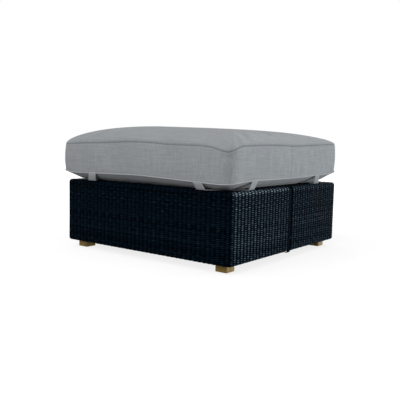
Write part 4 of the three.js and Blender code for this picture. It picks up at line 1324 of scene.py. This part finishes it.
# %% Oiled wood
WOOD_DARK, WOOD_LIGHT = (0.27, 0.172, 0.046, 1), (0.39, 0.266, 0.080, 1)
WOOD_PORE = (0.62, 0.58, 0.52, 1)
WOOD_RINGS, WOOD_TILT, WOOD_PORES = (90, 90, 6), (0.08, 0.05, 0.3), (900, 900, 40)


def wood_material(name):
    material, shader = blank_material(name)
    tree = material.node_tree
    place = add_node(tree, "TexCoord").outputs["Object"]
    apart = add_node(tree, "ObjectInfo").outputs["Location"]
    shifted = add_node(tree, "VectorMath", {"operation": "ADD"}, {0: place, 1: apart}).outputs[0]
    rings = add_node(tree, "Mapping", (), {"Vector": shifted, "Scale": WOOD_RINGS, "Rotation": WOOD_TILT})
    grain = add_node(tree, "TexNoise", (), {"Vector": rings.outputs[0], "Scale": 1.0, "Detail": 4.0,
                                            "Distortion": 0.6})
    pores = add_node(tree, "Mapping", (), {"Vector": shifted, "Scale": WOOD_PORES})
    fine = add_node(tree, "TexNoise", (), {"Vector": pores.outputs[0], "Scale": 1.0, "Detail": 2.0})
    ramp = add_node(tree, "ValToRGB", (), {"Fac": grain.outputs[0]})
    ramp.color_ramp.elements[0].position = 0.35
    ramp.color_ramp.elements[0].color = WOOD_DARK
    ramp.color_ramp.elements[1].position = 0.66
    ramp.color_ramp.elements[1].color = WOOD_LIGHT
    dark = add_node(tree, "ValToRGB", (), {"Fac": fine.outputs[0]})
    dark.color_ramp.elements[0].position = 0.33
    dark.color_ramp.elements[0].color = WOOD_PORE
    dark.color_ramp.elements[1].position = 0.50
    colour = add_node(tree, "Mix", {"data_type": "RGBA", "blend_type": "MULTIPLY"},
                      {0: 1.0, 6: ramp.outputs[0], 7: dark.outputs[0]})
    tree.links.new(colour.outputs[2], shader.inputs["Base Color"])
    bump = add_node(tree, "Bump", (), {"Strength": 0.3, "Distance": 0.2 * MM, "Height": fine.outputs[0]})
    tree.links.new(bump.outputs[0], shader.inputs["Normal"])
    shader.inputs["Roughness"].default_value = 0.5
    shader.inputs["Specular IOR Level"].default_value = 0.15
    return material

# %% Coats of metal and plastic
COAT_SPREAD, ROUGH_SPREAD = 0.15, 0.08


def coated_material(name, colour, roughness, peel_scale, peel, metallic=0.0):
    material, shader = blank_material(name)
    tree = material.node_tree
    place = add_node(tree, "TexCoord").outputs["Object"]
    peel_noise = add_node(tree, "TexNoise", (), {"Vector": place, "Scale": peel_scale, "Detail": 2.0})
    bump = add_node(tree, "Bump", (), {"Strength": 0.3, "Distance": peel, "Height": peel_noise.outputs[0]})
    tree.links.new(bump.outputs[0], shader.inputs["Normal"])
    cloudy = add_node(tree, "TexNoise", (), {"Vector": place, "Scale": 25.0, "Detail": 3.0})
    rough = add_node(tree, "MapRange", (), {"Value": cloudy.outputs[0], "To Min": roughness - ROUGH_SPREAD,
                                            "To Max": roughness + ROUGH_SPREAD})
    tree.links.new(rough.outputs[0], shader.inputs["Roughness"])
    ramp = add_node(tree, "ValToRGB", (), {"Fac": cloudy.outputs[0]})
    ramp.color_ramp.elements[0].color = tuple(c * (1 - COAT_SPREAD) for c in colour) + (1,)
    ramp.color_ramp.elements[1].color = tuple(min(c * (1 + COAT_SPREAD), 1) for c in colour) + (1,)
    tree.links.new(ramp.outputs[0], shader.inputs["Base Color"])
    shader.inputs["Metallic"].default_value = metallic
    return material

# %% Finish the rigid parts
foot_wood = wood_material("oiled_foot_wood")
frame_coat = coated_material("charcoal_powder_coat", (0.020, 0.024, 0.028), 0.5, 1400.0, 0.12 * MM)
bolt_zinc = coated_material("bright_zinc", (0.62, 0.63, 0.64), 0.3, 500.0, 0.02 * MM, 1.0)
glide_nylon = coated_material("black_nylon", (0.012, 0.012, 0.013), 0.55, 900.0, 0.05 * MM)
frame_starts = ("rail_", "mid_upright", "corner_post", "deck_bar", "foot_plate")
RIGID_FINISHES = {("block_foot",): (foot_wood, "foot_wood"), ("foot_bolt",): (bolt_zinc, "bolt"),
                  ("foot_glide",): (glide_nylon, "glide"), frame_starts: (frame_coat, "frame")}
finished = 0
for node_name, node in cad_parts.items():
    for starts, (finish, slot_name) in RIGID_FINISHES.items():
        if node_name.startswith(starts):
            node.data.materials.clear()
            node.data.materials.append(finish)
            finished += 1
print("finished", finished, "rigid parts")
